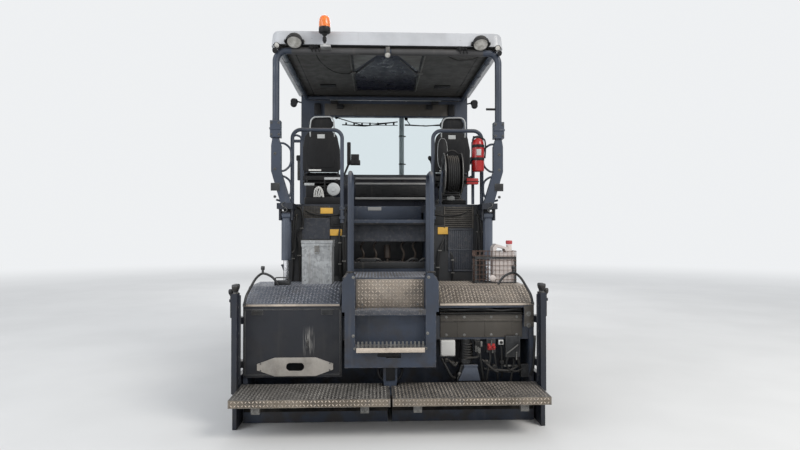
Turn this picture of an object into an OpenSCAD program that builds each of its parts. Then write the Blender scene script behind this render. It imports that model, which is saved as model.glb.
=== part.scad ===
// Tracked asphalt paver with a roofed platform and an extending rear screed.
// +Y is the way it paves, +X is its right side, and the ground is z = 0.

/* [Machine] */
// Length from the tail of the footboards to the front of the push rollers
total_l = 6400; // [6300:50:6800]
// Clear gap round a shaft or a pin that turns
run_gap = 0.3; // [0.2:0.1:0.5]
// Clear gap between panels that move past each other
move_gap = 10; // [8:1:14]

/* [Tracks] */
// Distance between the middles of the two tracks
track_gauge = 1965; // [1940:5:1975]
// Width of a track
track_w = 305; // [280:5:320]
// Length of a track over its ends
track_l = 3020; // [2900:20:3100]
// Radius of the track's inside round the rear sprocket
sprocket_r = 325; // [310:5:330]
// Radius of the track's inside round the front idler
idler_r = 270; // [255:5:285]
// Thickness of the track plate
plate_t = 25; // [20:1:30]
// Thickness of the rubber pad on the plate
pad_t = 35; // [25:1:40]
// Radius of the track rollers
roller_r = 75; // [60:5:80]
// Rollers on each track frame
rollers = 6; // [4:1:6]

/* [Chassis] */
// Width of the frame between the tracks
chassis_w = 1400; // [1360:10:1440]
// Height of the belly plate
belly_z = 240; // [220:10:260]
// Height of the deck that carries the engine
deck_z = 1000; // [960:10:1040]
// Height of the trough's side plates under the hopper
trough_z = 700; // [690:5:710]
// Thickness of the frame's side walls
side_t = 60; // [50:5:70]

/* [Screed] */
// Width of the screed with its extensions pushed in
screed_w = 2550; // [2500:10:2580]
// Depth of the basic screed
basic_d = 400; // [380:10:420]
// Depth of an extension
ext_d = 350; // [330:10:370]
// Height of the extension boxes
ext_h = 1012; // [990:2:1020]
// How far an extension slides out
ext_stroke = 1200; // [900:50:1200]
// Radius of the guide tubes
guide_r = 55; // [45:5:60]
// Height of the screed soles over the ground
sole_z = 3; // [2:1:6]
// Depth of a footboard
board_d = 485; // [440:5:520]
// Height of the footboards' tread
board_z = 342; // [320:2:350]
// Height of the walkway over the extensions
walk_z = 1160; // [1140:5:1180]

/* [Auger] */
// Radius of the auger flights
auger_r = 190; // [170:5:200]
// Pitch of the flights
auger_pitch = 340; // [300:10:340]
// Radius of the auger shaft
auger_shaft_r = 45; // [38:1:55]

/* [Hopper] */
// Height of the wing hinges
wing_z = 735; // [732:1:745]
// Half of the hopper's width over its open wings
wing_reach = 1610; // [1560:10:1640]
// Height of the wings' rim
rim_z = 1150; // [1120:10:1180]
// Thickness of the wing plate
wing_t = 12; // [8:1:16]
// How far a wing folds up
wing_fold = 50; // [40:1:52]

/* [Body] */
// Height of the engine cover
hood_z = 2060; // [2020:10:2100]
// Width over the engine bay
bay_w = 2200; // [2140:10:2220]
// Thickness of the engine bay's walls
bay_t = 40; // [30:2:50]
// Height of the platform floor
floor_z = 1955; // [1930:5:1980]

/* [Roof] */
// Height of the top of the roof
roof_z = 3720; // [3680:10:3760]
// Width of the roof
roof_w = 2400; // [2360:10:2440]
// Depth of the roof shell at its rim
roof_t = 150; // [130:5:160]
// Length of the roof
roof_l = 2350; // [2300:10:2400]
// Radius of the roof's rear hoop
hoop_r = 35; // [30:1:40]
// Height of the beacon's top over the roof
beacon_up = 120; // [100:5:150]

/* [Hidden] */
$fn = 48;

frame_blue = "#3b4a57";
panel_dark = "#20262d";
worn_alloy = "#b3a68d";
black_steel = "#1c1d1f";
rubber_black = "#191919";
roof_white = "#cfd2d3";
lining_grey = "#3a3b3d";
chrome = "#c8c8cc";

// Stations along the machine, counted from the tail
tail_y = -total_l / 2;
nose_y = total_l / 2;
board_y = [tail_y, tail_y + board_d];
ext_y = [board_y[1] + 15, board_y[1] + 15 + ext_d];
basic_y = [ext_y[1] + 15, ext_y[1] + 15 + basic_d];
auger_y = basic_y[1] + 105 + auger_r;
track_y = [auger_y + auger_r + 30, auger_y + auger_r + 30 + track_l];
chassis_y0 = auger_y + auger_r + 10;
platform_y = [chassis_y0 - 180, chassis_y0 + 1790];
bay_y = [platform_y[1] + 10, platform_y[1] + 980];
wing_y = [bay_y[1] + 30, nose_y - 280];
trough_y1 = nose_y - 265;
hoop_y = platform_y[0] - 210;

track_x = track_gauge / 2;
shoe_t = plate_t + pad_t;
chassis_x = chassis_w / 2;
cell_x = [35, chassis_x - side_t];

// A range given by its distances from a place
function about(c, r) = [c + r[0], c + r[1]];
module span(x, y, z)
    translate([x[0], y[0], z[0]]) cube([x[1] - x[0], y[1] - y[0], z[1] - z[0]]);
module bar_x(r, x, y, z) translate([x[0], y, z]) rotate([0, 90, 0]) cylinder(r = r, h = x[1] - x[0]);
module bar_y(r, x, y, z) translate([x, y[0], z]) rotate([-90, 0, 0]) cylinder(r = r, h = y[1] - y[0]);
module bar_z(r, x, y, z) translate([x, y, z[0]]) cylinder(r = r, h = z[1] - z[0]);
// Outlines in the Y-Z plane carried along X, and in the X-Z plane carried along Y
module prism_x(x, yz) translate([x[0], 0, 0]) rotate([90, 0, 90]) linear_extrude(x[1] - x[0]) polygon(yz);
module prism_y(y, xz) translate([0, y[1], 0]) rotate([90, 0, 0]) linear_extrude(y[1] - y[0]) polygon(xz);
module flip(s) mirror([s < 0 ? 1 : 0, 0, 0]) children();
module both() for (s = [-1, 1]) flip(s) children();

// A tube bent to an upside-down U over x = -w/2 and w/2, its feet at z = 0
module hoop(w, h, bend, r) {
    for (s = [-1, 1]) translate([s * w / 2, 0, 0]) cylinder(r = r, h = h - bend);
    bar_x(r, [bend - w / 2, w / 2 - bend], 0, h);
    for (s = [-1, 1]) translate([s * (w / 2 - bend), 0, h - bend]) flip(s) elbow(bend, r);
}
// A quarter of a tube bend from +X round to +Z
module elbow(bend, r)
    rotate([90, 0, 0]) rotate_extrude(angle = 90) translate([bend, 0]) circle(r = r);

// Tracks
lift_z = 8;
rear_c = [track_y[0] + sprocket_r + shoe_t, sprocket_r + shoe_t + lift_z];
front_c = [track_y[1] - idler_r - shoe_t, idler_r + shoe_t + lift_z];
run_l = front_c[0] - rear_c[0];
lean = 2 * atan2(front_c[1] - rear_c[1], run_l);
shoe_pitch = 148;
function dir(a) = [cos(a), sin(a)];
function run_shoes(from, to, a) = let (l = norm(to - from), n = round(l / shoe_pitch))
    [for (i = [0 : n - 1]) [from + (to - from) * (i + 0.5) / n, a, l / n]];
function arc_shoes(c, r, a0, a1) = let (l = r * (a1 - a0) * PI / 180, n = round(l / shoe_pitch))
    [for (i = [0 : n - 1]) let (a = a0 + (a1 - a0) * (i + 0.5) / n) [c + r * dir(a), a, l / n]];
// Each shoe is [middle of its inside, angle of its outward normal, pitch]
shoes = concat(
    run_shoes([rear_c[0], shoe_t], [front_c[0], shoe_t], -90),
    arc_shoes(front_c, idler_r, -90, 90 + lean),
    run_shoes(front_c + idler_r * dir(90 + lean), rear_c + sprocket_r * dir(90 + lean), 90 + lean),
    arc_shoes(rear_c, sprocket_r, 90 + lean, 270)
);
// Corners of a shoe as [share of its pitch along it, height over its inside]
shoe_outside = [[-0.46, plate_t], [-0.4, shoe_t], [0.4, shoe_t], [0.46, plate_t]];
shoe_inside = [[-0.46, 0], [0.46, 0]];
function loop_points(corners) =
    [for (s = shoes) for (c = corners) s[0] + c[0] * s[2] * dir(s[1] + 90) + c[1] * dir(s[1])];
module track(s) color(rubber_black) difference() {
    prism_x([s * track_x - track_w / 2, s * track_x + track_w / 2], loop_points(shoe_outside));
    prism_x([s * track_x - track_w / 2 - 1, s * track_x + track_w / 2 + 1], loop_points(shoe_inside));
}

frame_hw = 95;
drive_r = 180;
frame_z = [roller_r * 2 + shoe_t + 10, roller_r * 2 + shoe_t + 190];
roller_y = [for (i = [0 : rollers - 1])
    rear_c[0] + sprocket_r + 110 + i * (run_l - sprocket_r - idler_r - 220) / (rollers - 1)];
carrier_y = [rear_c[0] + run_l * 0.36, rear_c[0] + run_l * 0.68];
carrier_r = 60;
ear_t = 14;
roller_hw = frame_hw - ear_t;
function belt_top(y) = rear_c[1] + sprocket_r / cos(lean) + (y - rear_c[0]) * tan(lean);
idler_fork_y = front_c[0] - idler_r - 20;
module track_frames() color(frame_blue) both() translate([track_x, 0, 0]) {
    span([-frame_hw, frame_hw], [rear_c[0] + sprocket_r + 20, idler_fork_y], frame_z);
    for (y = [roller_y[0] + 60, roller_y[rollers - 1] - 260])
        span([chassis_x - track_x, -frame_hw], [y, y + 200], [frame_z[0] + 20, frame_z[1] - 20]);
    for (e = [-1, 1]) flip(e) {
        for (y = roller_y) span([roller_hw, frame_hw], [y - 50, y + 50], [shoe_t + 35, frame_z[0]]);
        for (y = carrier_y)
            span([roller_hw, frame_hw], [y - 35, y + 35], [frame_z[1], belt_top(y) - 30]);
        span([roller_hw, frame_hw], [idler_fork_y, front_c[0] + 50], [front_c[1] - 50, front_c[1] + 50]);
    }
    difference() {
        span([-frame_hw, -frame_hw + 40], [rear_c[0] - 120, rear_c[0] + sprocket_r + 20],
            [frame_z[0], frame_z[1]]);
        bar_x(drive_r + run_gap, [-frame_hw - 1, -frame_hw + 41], rear_c[0], rear_c[1]);
    }
}

// A roller profile, turned about X between its two ears
module roller(r, y, z) translate([0, y, z]) {
    bar_x(r, [-roller_hw + 12, roller_hw - 12], 0, 0);
    for (e = [-1, 1]) flip(e) bar_x(r - 12, [roller_hw - 12, roller_hw - 4], 0, 0);
    bar_x(24, [-roller_hw, roller_hw], 0, 0);
}
teeth = 16;
tooth_r = sprocket_r - 2;
module track_wheels() color(black_steel) both() translate([track_x, 0, 0]) {
    for (y = roller_y) roller(roller_r, y, shoe_t + roller_r + run_gap);
    for (y = carrier_y) roller(carrier_r, y, belt_top(y) - carrier_r - 3);
    difference() {
        union() {
            translate([-30, rear_c[0], rear_c[1]]) rotate([90, 0, 90]) linear_extrude(60) polygon(
                [for (i = [0 : teeth - 1]) for (q = [[0, -42], [0.18, 0], [0.5, 0], [0.68, -42]])
                    (tooth_r + q[1]) * dir(360 * (i + q[0]) / teeth)]);
            bar_x(drive_r, [chassis_x - track_x, 60], rear_c[0], rear_c[1]);
        }
        bar_x(110, [40, 70], rear_c[0], rear_c[1]);
    }
    translate([0, front_c[0], front_c[1]]) rotate([0, 90, 0]) rotate_extrude()
        polygon([[40, -roller_hw], [70, -roller_hw], [90, -30], [idler_r - 60, -30], [idler_r - 50, -60],
            [idler_r - run_gap, -60], [idler_r - run_gap, 60], [idler_r - 50, 60], [idler_r - 60, 30],
            [90, 30], [70, roller_hw], [40, roller_hw]]);
    bar_x(39.9, [-roller_hw, roller_hw], front_c[0], front_c[1]);
}

// Chassis
chain_r = 75;
chain_t = 30;
chain_z = belly_z + 20 + 25 + chain_r;
conveyor_y = [chassis_y0 + 85, trough_y1 - 100];
pan_z = [chain_z + chain_r - chain_t - 30, chain_z + chain_r - chain_t - run_gap];
tunnel_z = 760;
hinge_x = chassis_x - side_t / 2;
knuckle_r = 32;
wing_pin_r = 15;
knuckles = 5;
knuckle_l = 110;
knuckle_pitch = (wing_y[1] - wing_y[0] - 2 * knuckle_l - 2 * move_gap) / (knuckles - 1);
function knuckle_at(i) = wing_y[0] + knuckle_l / 2 + move_gap + i * knuckle_pitch;
wing_eye = [hinge_x + 500, wing_z + 20];
wing_pivot = [chassis_x + 35, 350];
wing_cyl_y = (wing_y[0] + wing_y[1]) / 2 + 60;
apron_y = trough_y1 + 35;
apron_z = 650;
module chassis() color(frame_blue) {
    difference() {
        union() {
            span([-chassis_x, chassis_x], [chassis_y0, bay_y[1]], [belly_z, deck_z]);
            span([-chassis_x, chassis_x], [bay_y[1], trough_y1], [belly_z, trough_z]);
        }
        both() {
            span(cell_x, [chassis_y0 - 1, trough_y1 - 5], [belly_z + 20, pan_z[0]]);
            span(cell_x, [chassis_y0 - 1, bay_y[1]], [pan_z[1], tunnel_z]);
            span(cell_x, [bay_y[1] - 1, trough_y1 - 5], [pan_z[1], trough_z + 1]);
            span(cell_x, [conveyor_y[1] - 20, trough_y1 - 5], [belly_z + 20, pan_z[1] + 10]);
            span(cell_x, [chassis_y0 - 1, conveyor_y[0] + 20], [belly_z + 20, pan_z[1] + 10]);
        }
    }
}

// What is welded to the chassis: wing hinge knuckles with their pins, ears and the tow points
module chassis_fittings() color(frame_blue) {
    both() {
        for (i = [0 : knuckles - 1]) difference() {
            union() {
                bar_y(knuckle_r, hinge_x, about(knuckle_at(i), [-0.5, 0.5] * knuckle_l), wing_z);
                span([hinge_x - 20, hinge_x + 20],
                    about(knuckle_at(i), [-0.5, 0.5] * knuckle_l), [trough_z, wing_z]);
            }
            bar_y(wing_pin_r, hinge_x, about(knuckle_at(i), [-0.6, 0.6] * knuckle_l), wing_z);
        }
        bar_y(wing_pin_r, hinge_x, [wing_y[0] + move_gap, wing_y[1] - move_gap], wing_z);
    }
    // Ears for the wing cylinders
    both() for (e = [-1, 1]) difference() {
        prism_y(about(wing_cyl_y + e * 45, [-12, 12]),
            [[chassis_x, 290], [chassis_x + 65, 310], [chassis_x + 75, 350], [chassis_x + 60, 390],
             [chassis_x, 430]]);
        bar_y(20, wing_pivot[0], about(wing_cyl_y + e * 45, [-20, 20]), wing_pivot[1]);
    }
    both() bar_y(20, wing_pivot[0], about(wing_cyl_y, [-57, 57]), wing_pivot[1]);
    // Ears for the apron
    both() difference() {
        for (x = [540, 600]) prism_x([x, x + 18],
            [[trough_y1, apron_z - 60], [apron_y + 10, apron_z - 40], [apron_y + 25, apron_z],
             [apron_y, apron_z + 25], [trough_y1, apron_z + 30]]);
        bar_x(15, [530, 630], apron_y, apron_z);
    }
    both() bar_x(15, [540, 618], apron_y, apron_z);
    tow_guides();
}

// A lashing eye: a plate with a hole that hangs from z
eye_r = 28;
eye_t = 25;
eye_drop = 45;
module lashing_eye(x, y, z) difference() {
    prism_x([x, x + eye_t], [[y - 40, z + 1], [y - 40, z - 60], [y - 20, z - 85], [y + 20, z - 85],
        [y + 40, z - 60], [y + 40, z + 1]]);
    bar_x(eye_r, [x - 1, x + eye_t + 1], y, z - eye_drop);
}

// Tow points beside the tracks
tow_y = track_y[0] + 2320;
tow_z = 560;
tow_pin_r = 40;
module tow_guides() both() {
    over_z = front_c[1] + idler_r + shoe_t + 130;
    // Cross arm over the track and the hanger plates on both sides of the tow arm
    span([chassis_x, arm_x[1] + 40], [tow_y - 110, tow_y + 110], [over_z, over_z + 90]);
    difference() {
        union() {
            span([arm_x[1] + 5, arm_x[1] + 25], [tow_y - 90, tow_y + 90], [tow_z - 100, over_z]);
            span([arm_x[0] - 22, arm_x[0] - 5], [tow_y - 90, tow_y + 90], [tow_z - 100, over_z]);
        }
        bar_x(tow_pin_r, [arm_x[0] - 30, arm_x[1] + 30], tow_y, tow_z);
    }
    bar_x(tow_pin_r, [arm_x[0] - 22, arm_x[1] + 25], tow_y, tow_z);
}

module conveyor_chains() color("#4a4238") both() {
    for (x = [cell_x[0] + 20, cell_x[1] - 60]) difference() {
        union() {
            for (y = conveyor_y) bar_x(chain_r, [x, x + 40], y, chain_z);
            span([x, x + 40], conveyor_y, about(chain_z, [-1, 1] * chain_r));
        }
        for (y = conveyor_y) bar_x(chain_r - chain_t, [x - 1, x + 41], y, chain_z);
        span([x - 1, x + 41], conveyor_y, about(chain_z, [-1, 1] * (chain_r - chain_t)));
    }
    slats = 13;
    for (i = [0 : slats - 1]) for (top = [0, 1]) {
        y = conveyor_y[0] + (i + 0.25 + top * 0.5) * (conveyor_y[1] - conveyor_y[0]) / slats;
        z = chain_z + (top == 1 ? chain_r - chain_t : -chain_r);
        span([cell_x[0] + 60, cell_x[1] - 60], [y, y + 35], [z, z + chain_t]);
    }
}

// Body over the frame
arm_x = [track_x + track_w / 2 + 30, track_x + track_w / 2 + 130];
// The body and the roof keep their insets from the tracks when the gauge is another one
drawn_gauge = 1965;
widen = (track_gauge - drawn_gauge) / 2;
bay_x = bay_w / 2 + widen;
roof_x = roof_w / 2 + widen;
niche_x = 420;
niche_l = 420;
cab_x = [niche_x + 20, bay_x];
module rear_body() color(frame_blue) {
    difference() {
        span([-cab_x[1], cab_x[1]], [chassis_y0, platform_y[1] - 10], [deck_z, floor_z - 75]);
        span([-niche_x, niche_x], [chassis_y0 - 1, chassis_y0 + niche_l], [deck_z + 330, floor_z]);
    }
    both() span([chassis_x + 30, cab_x[1]], [chassis_y0 + 60, platform_y[1] - 60], [deck_z - 120, deck_z]);
}

post_x = bay_x + 47;
lift_x = arm_x[0] - 120;
lift_y = platform_y[0] - 160;
lift_top = [lift_y, floor_z - 125];
module cabinets() color(panel_dark) both() {
    difference() {
        span(cab_x, [platform_y[0], chassis_y0], [deck_z + 60, floor_z - 25]);
        for (i = [0 : 7]) span([620, 910], [platform_y[0] - 1, platform_y[0] + 12],
            [floor_z - 240 + i * 24, floor_z - 228 + i * 24]);
        for (i = [0 : 8]) span([600 + i * 30, 614 + i * 30], [platform_y[0] - 1, platform_y[0] + 15],
            [floor_z - 500, floor_z - 280]);
    }
}

floor_x = bay_x + 30;
module platform() color(panel_dark) {
    difference() {
        union() {
            span([-floor_x, floor_x], platform_y, [floor_z - 25, floor_z]);
            span([10 - bay_x, bay_x - 10], [platform_y[0] + 30, platform_y[1] - 40],
                [floor_z - 75, floor_z - 25]);
        }
        span([-niche_x, niche_x], [platform_y[0] - 1, chassis_y0 + 260], [floor_z - 200, floor_z + 1]);
        both() span([cab_x[0] - 10, floor_x + 1], [platform_y[0] + 29, chassis_y0 + 1],
            [floor_z - 100, floor_z - 25]);
    }
    // Step in the niche, and its riser plate
    span([-niche_x, niche_x], [chassis_y0 - 130, chassis_y0 + 30], [floor_z - 195, floor_z - 165]);
    span([-niche_x, niche_x], [chassis_y0, chassis_y0 + 20], [floor_z - 400, floor_z - 195]);
    // Outriggers behind the cabinets carry the roof posts and the screed lift
    both() {
        span([lift_x - 75, lift_x + 85], [hoop_y - 40, platform_y[0]], [floor_z - 60, floor_z]);
        difference() {
            for (e = [-1, 1]) span(about(lift_x + e * 62, [-9, 9]), [lift_y - 45, lift_y + 45],
                [floor_z - 175, floor_z - 60]);
            bar_x(22, [lift_x - 80, lift_x + 80], lift_y, lift_top[1]);
        }
        bar_x(22, [lift_x - 71, lift_x + 71], lift_y, lift_top[1]);
    }
}

module engine() color("#6b6f70") {
    span([-330, 330], [bay_y[0] + 120, bay_y[1] - 180], [deck_z, deck_z + 620]);
    span([-420, -330], [bay_y[0] + 240, bay_y[1] - 300], [deck_z + 200, deck_z + 520]);
}

cowl_y = bay_y[0] + 250;
door_z = [deck_z + 70, hood_z - 110];
door_y = [bay_y[0] + 100, bay_y[1] - 90];
door_t = 30;
door_pin = [bay_x + 20, door_y[0] - 20];
hood_hinge = [bay_y[1] - 25, hood_z + 20];
module engine_bay() color(frame_blue) {
    difference() {
        span([-bay_x, bay_x], bay_y, [deck_z, hood_z]);
        span([-bay_x + bay_t, bay_x - bay_t], [bay_y[0] + bay_t, bay_y[1] - bay_t],
            [deck_z - 1, hood_z - 30]);
        span([-bay_x + bay_t, bay_x - bay_t], [cowl_y, bay_y[1] - bay_t - 30], [hood_z - 31, hood_z + 1]);
        both() span([bay_x - bay_t - 1, bay_x + 1], door_y, door_z);
    }
    both() bar_z(8, door_pin[0], door_pin[1], door_z + [-14, 14]);
    both() for (z = [door_z[0] - 14, door_z[1] + 2])
        span([bay_x, bay_x + 32], about(door_pin[1], [-14, 14]), [z, z + 12]);
    // Hinge ears of the hood
    for (x = [-700, 0, 700]) difference() {
        span([x - 60, x + 60], [hood_hinge[0] - 14, hood_hinge[0] + 14], [hood_z, hood_hinge[1] + 10]);
        span([x - 40, x + 40], [hood_hinge[0] - 20, hood_hinge[0] + 20], [hood_z, hood_hinge[1] + 20]);
    }
    for (x = [-700, 0, 700]) bar_x(8, [x - 60, x + 60], hood_hinge[0], hood_hinge[1]);
}
module engine_hood() color(frame_blue) {
    difference() {
        span([-bay_x + 10, bay_x - 10], [cowl_y + 5, hood_hinge[0] - 20], [hood_z + 5, hood_z + 35]);
        for (i = [0 : 7]) span([-600, 600], [cowl_y + 120 + i * 50, cowl_y + 145 + i * 50],
            [hood_z + 25, hood_z + 36]);
    }
    for (x = [-700, 0, 700]) difference() {
        union() {
            span([x - 35, x + 35], [hood_hinge[0] - 30, hood_hinge[0]], [hood_z + 7, hood_z + 33]);
            bar_x(14, [x - 35, x + 35], hood_hinge[0], hood_hinge[1]);
        }
        bar_x(8 + run_gap, [x - 36, x + 36], hood_hinge[0], hood_hinge[1]);
    }
}
module side_door(s) color(frame_blue) flip(s) difference() {
    union() {
        span([bay_x + 5, bay_x + 5 + door_t], [door_y[0] - 6, door_y[1] + 20], door_z + [8, -8]);
        bar_z(14, door_pin[0], door_pin[1], door_z + [1, -1]);
        span([bay_x + 10, bay_x + 30], [door_pin[1], door_y[0]], door_z + [8, -8]);
    }
    bar_z(8 + run_gap, door_pin[0], door_pin[1], door_z + [-10, 10]);
    for (i = [0 : 11]) span([bay_x + 25, bay_x + 40], [door_y[0] + 120, door_y[1] - 120],
        [door_z[0] + 120 + i * 52, door_z[0] + 142 + i * 52]);
}

under_roof = roof_z - roof_t;
hoop_z = under_roof - 50;
desk_y = platform_y[1] - 280;
desk_y1 = platform_y[1] - 90;
glass_z = [floor_z + 495, hoop_z - 255];
module control_desk() color(panel_dark) {
    prism_x([60 - front_post_x, front_post_x - 60],
        [[desk_y, floor_z], [desk_y1, floor_z], [desk_y1, glass_z[0]],
        [desk_y + 120, glass_z[0]], [desk_y - 60, glass_z[0] - 160], [desk_y - 60, glass_z[0] - 200]]);
}

seat_x = bay_x - 355;
seat_y = platform_y[0] + 440;
seat_lean = 5;
back_h = 470;
module seats() color(rubber_black) both() translate([seat_x, seat_y, 0]) {
    span([-150, 150], [60, 420], [floor_z, floor_z + 90]);
    prism_x([-110, 110],
        [[100, floor_z + 90], [380, floor_z + 90], [420, floor_z + 260], [60, floor_z + 260]]);
    span([-225, 225], [40, 500], [floor_z + 260, floor_z + 390]);
    translate([0, 105, floor_z + 392]) rotate([90 + seat_lean, 0, 0]) {
        round_plate([-215, 215], [0, back_h], [0, 105], 70);
        round_plate([-130, 130], [back_h + 20, back_h + 155], [20, 90], 40);
        for (x = [-70, 70]) bar_y(8, x, [back_h - 5, back_h + 30], 55);
    }
    span([235, 295], [60, 380], [floor_z + 520, floor_z + 590]);
    span([235, 265], [60, 130], [floor_z + 300, floor_z + 520]);
    span([225, 235], [60, 130], [floor_z + 300, floor_z + 360]);
}

guard_y = platform_y[0] - 60;
guard_r = 20;
guard_x = [480, bay_x - 100];
guard_top = floor_z + 780;
module guard_hoops() color(frame_blue) {
    both() guard();
    reel_stand();
}
module guard() {
    translate([(guard_x[0] + guard_x[1]) / 2, guard_y, floor_z])
        hoop(guard_x[1] - guard_x[0], guard_top - floor_z, 90, guard_r);
    bar_z(guard_r, guard_x[0], guard_y, [floor_z - 200, floor_z]);
    for (z = [floor_z - 160, floor_z - 60])
        span(about(guard_x[0], [-26, 26]), [guard_y - 24, platform_y[0]], [z, z + 30]);
    // A grab bar inside the outer leg
    bar_z(16, guard_x[1] - 95, guard_y, [floor_z, guard_top - 120]);
    bar_x(16, [guard_x[1] - 95, guard_x[1]], guard_y, guard_top - 120);
}

roof_y = [hoop_y - 60, hoop_y - 60 + roof_l];
lining_z0 = hoop_z + hoop_r + 2;
front_post_x = bay_x;
foot_z = floor_z + 670;
kink_z = floor_z + 325;
module roof_frame() color(frame_blue) {
    translate([0, hoop_y, foot_z]) hoop(2 * post_x, hoop_z - foot_z, 110, hoop_r);
    // Slanted plates from the outriggers to the hoop's feet
    both() {
        prism_y(about(hoop_y, [-30, 30]), [[lift_x - 55, floor_z], [lift_x + 50, floor_z],
            [post_x + 43, kink_z], [post_x + 43, foot_z - 85], [post_x + 30, foot_z],
            [post_x - 30, foot_z], [post_x - 57, foot_z - 85], [post_x - 57, kink_z]]);
        span(about(post_x, [-52, 52]), about(hoop_y, [-50, 50]), [foot_z, foot_z + 170]);
    }
    // Front posts, the beam over the windshield and the side rails
    both() span(about(front_post_x, [-58, 58]), [platform_y[1] - 80, platform_y[1]], [floor_z, lining_z0]);
    both() prism_y([platform_y[1] - 80, platform_y[1] - 46], [[front_post_x - 58, glass_z[1]],
        [front_post_x - 58, glass_z[1] - 90], [front_post_x - 80, glass_z[1] - 35],
        [front_post_x - 148, glass_z[1]]]);
    bar_x(28, [-front_post_x, front_post_x], platform_y[1] - 108, hoop_z);
    span([-front_post_x + 58, front_post_x - 58], [platform_y[1] - 80, platform_y[1]],
        [glass_z[1], hoop_z - 30]);
    both() bar_y(28, front_post_x - 10, [hoop_y, platform_y[1] - 80], hoop_z);
}

hatch_x = 385;
// A plate with round corners
module round_plate(x, y, z, r) {
    span(x + [r, -r], y, z);
    span(x, y + [r, -r], z);
    for (px = x + [r, -r]) for (py = y + [r, -r]) bar_z(r, px, py, z);
}
module roof_lining() color(lining_grey) difference() {
    round_plate([-roof_x + 65, roof_x - 65], roof_y + [65, -65], [lining_z0, under_roof + 40], 70);
    span([-hatch_x, hatch_x], [hoop_y + 75, platform_y[1] - 390], [hoop_z, under_roof + 20]);
}

module roof_slab(inset, z0, z1) hull() for (x = [-1, 1]) for (y = [0, 1]) {
    r = 110 - inset / 2;
    px = x * (roof_x - inset - r);
    py = y == 0 ? roof_y[0] + inset + r : roof_y[1] - inset - r;
    translate([px, py, z0]) cylinder(r1 = r, r2 = r - 12, h = z1 - z0, $fn = 32);
}
module roof_shell() color(roof_white) difference() {
    union() {
        roof_slab(0, under_roof, roof_z - 30);
        roof_slab(12, roof_z - 30, roof_z - 8);
        roof_slab(60, roof_z - 8, roof_z);
    }
    roof_slab(45, under_roof - 1, under_roof + 40);
}

module windshield() color("#9fb4bc55")
    span([-front_post_x + 58, front_post_x - 58], [platform_y[1] - 46, platform_y[1] - 38], glass_z);

lamp_r = 85;
lamp_x = roof_x - 240;
lamp_y = [roof_y[0] - 78, roof_y[0] - 6];
lamp_z = hoop_z + 92;
module work_lamps() color(black_steel) both() {
    difference() {
        bar_y(lamp_r, lamp_x, lamp_y, lamp_z);
        bar_y(lamp_r - 12, lamp_x, about(lamp_y[0], [-1, 8]), lamp_z);
    }
    span([lamp_x - 20, lamp_x + 20], [lamp_y[0] + 20, hoop_y - hoop_r], [hoop_z - 6, hoop_z + 8]);
}

// The beacon stands on a mast behind the roof, on a foot that the hoop carries
beacon_x = -640;
beacon_y = roof_y[0] - 75;
beacon_top = roof_z + beacon_up;
module beacon() color("#e8892b") {
    span(about(beacon_x, [-35, 35]), [beacon_y - 30, hoop_y - hoop_r], about(hoop_z, [-5, 10]));
    bar_z(13, beacon_x, beacon_y, [hoop_z + 10, beacon_top - 190]);
    bar_z(58, beacon_x, beacon_y, [beacon_top - 190, beacon_top - 145]);
    bar_z(52, beacon_x, beacon_y, [beacon_top - 145, beacon_top - 52]);
    translate([beacon_x, beacon_y, beacon_top - 52]) intersection() {
        sphere(r = 52);
        cylinder(r = 60, h = 60);
    }
}

bottle_r = 62;
bottle_h = 240;
module extinguisher() color("#b3201c") translate([guard_x[1] - 50, guard_y - bottle_r - 33, floor_z + 385]) {
    cylinder(r = bottle_r, h = bottle_h);
    translate([0, 0, bottle_h]) cylinder(r1 = bottle_r, r2 = 22, h = 40);
    bar_z(20, 0, 0, about(bottle_h, [40, 85]));
    span([-60, 60], [bottle_r, bottle_r + 13], [40, bottle_h - 20]);
}

stack_x = 244;
stack_r = 35;
stack_top = hoop_z - 80;
module exhaust() color("#9a9c9e") difference() {
    bar_z(stack_r, stack_x, bay_y[0] + 130, [hood_z, stack_top]);
    bar_z(stack_r - 4, stack_x, bay_y[0] + 130, [hood_z + 940, stack_top + 1]);
}

case_x = 70;
auger_z = 400;
module auger_carrier() color(frame_blue) difference() {
    union() {
        span([-case_x, case_x], [auger_y - 70, chassis_y0], [auger_z - 90, auger_z + 330]);
        span([-640, 640], [chassis_y0 - 120, chassis_y0], [auger_z + 240, auger_z + 330]);
    }
    bar_x(auger_shaft_r - 5 + run_gap, [-case_x - 1, case_x + 1], auger_y, auger_z);
}
flight_turns = 3;
module auger(s) color("#7c6f60") flip(s) {
    bar_x(auger_shaft_r, [case_x + 5, arm_x[0] - 25], auger_y, auger_z);
    bar_x(auger_shaft_r - 5, [4, case_x + 5], auger_y, auger_z);
    translate([case_x + 20, auger_y, auger_z]) rotate([0, 90, 0])
        flight(auger_pitch * flight_turns, flight_turns);
}
// A helical plate round the shaft, its section carried round in steps
flight_steps = 20;
module flight(l, turns) {
    n = flight_steps * turns;
    ring = [[auger_shaft_r - 4, 0], [auger_r, 0], [auger_r, 14], [auger_shaft_r - 4, 14]];
    pts = [for (i = [0 : n]) for (q = ring)
        [q[0] * cos(360 * turns * i / n), q[0] * sin(360 * turns * i / n), q[1] + l * i / n]];
    // Both broad sides are split along the same diagonal, so the plate keeps its thickness
    faces = concat([[3, 2, 1, 0]], [[4 * n, 4 * n + 1, 4 * n + 2, 4 * n + 3]],
        [for (i = [0 : n - 1]) for (k = [0 : 3])
            let (a = 4 * i + k, b = 4 * i + (k + 1) % 4, c = b + 4, d = a + 4)
            each k < 2 ? [[a, b, d], [b, c, d]] : [[a, b, c], [a, c, d]]]);
    polyhedron(points = pts, faces = faces);
}

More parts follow.
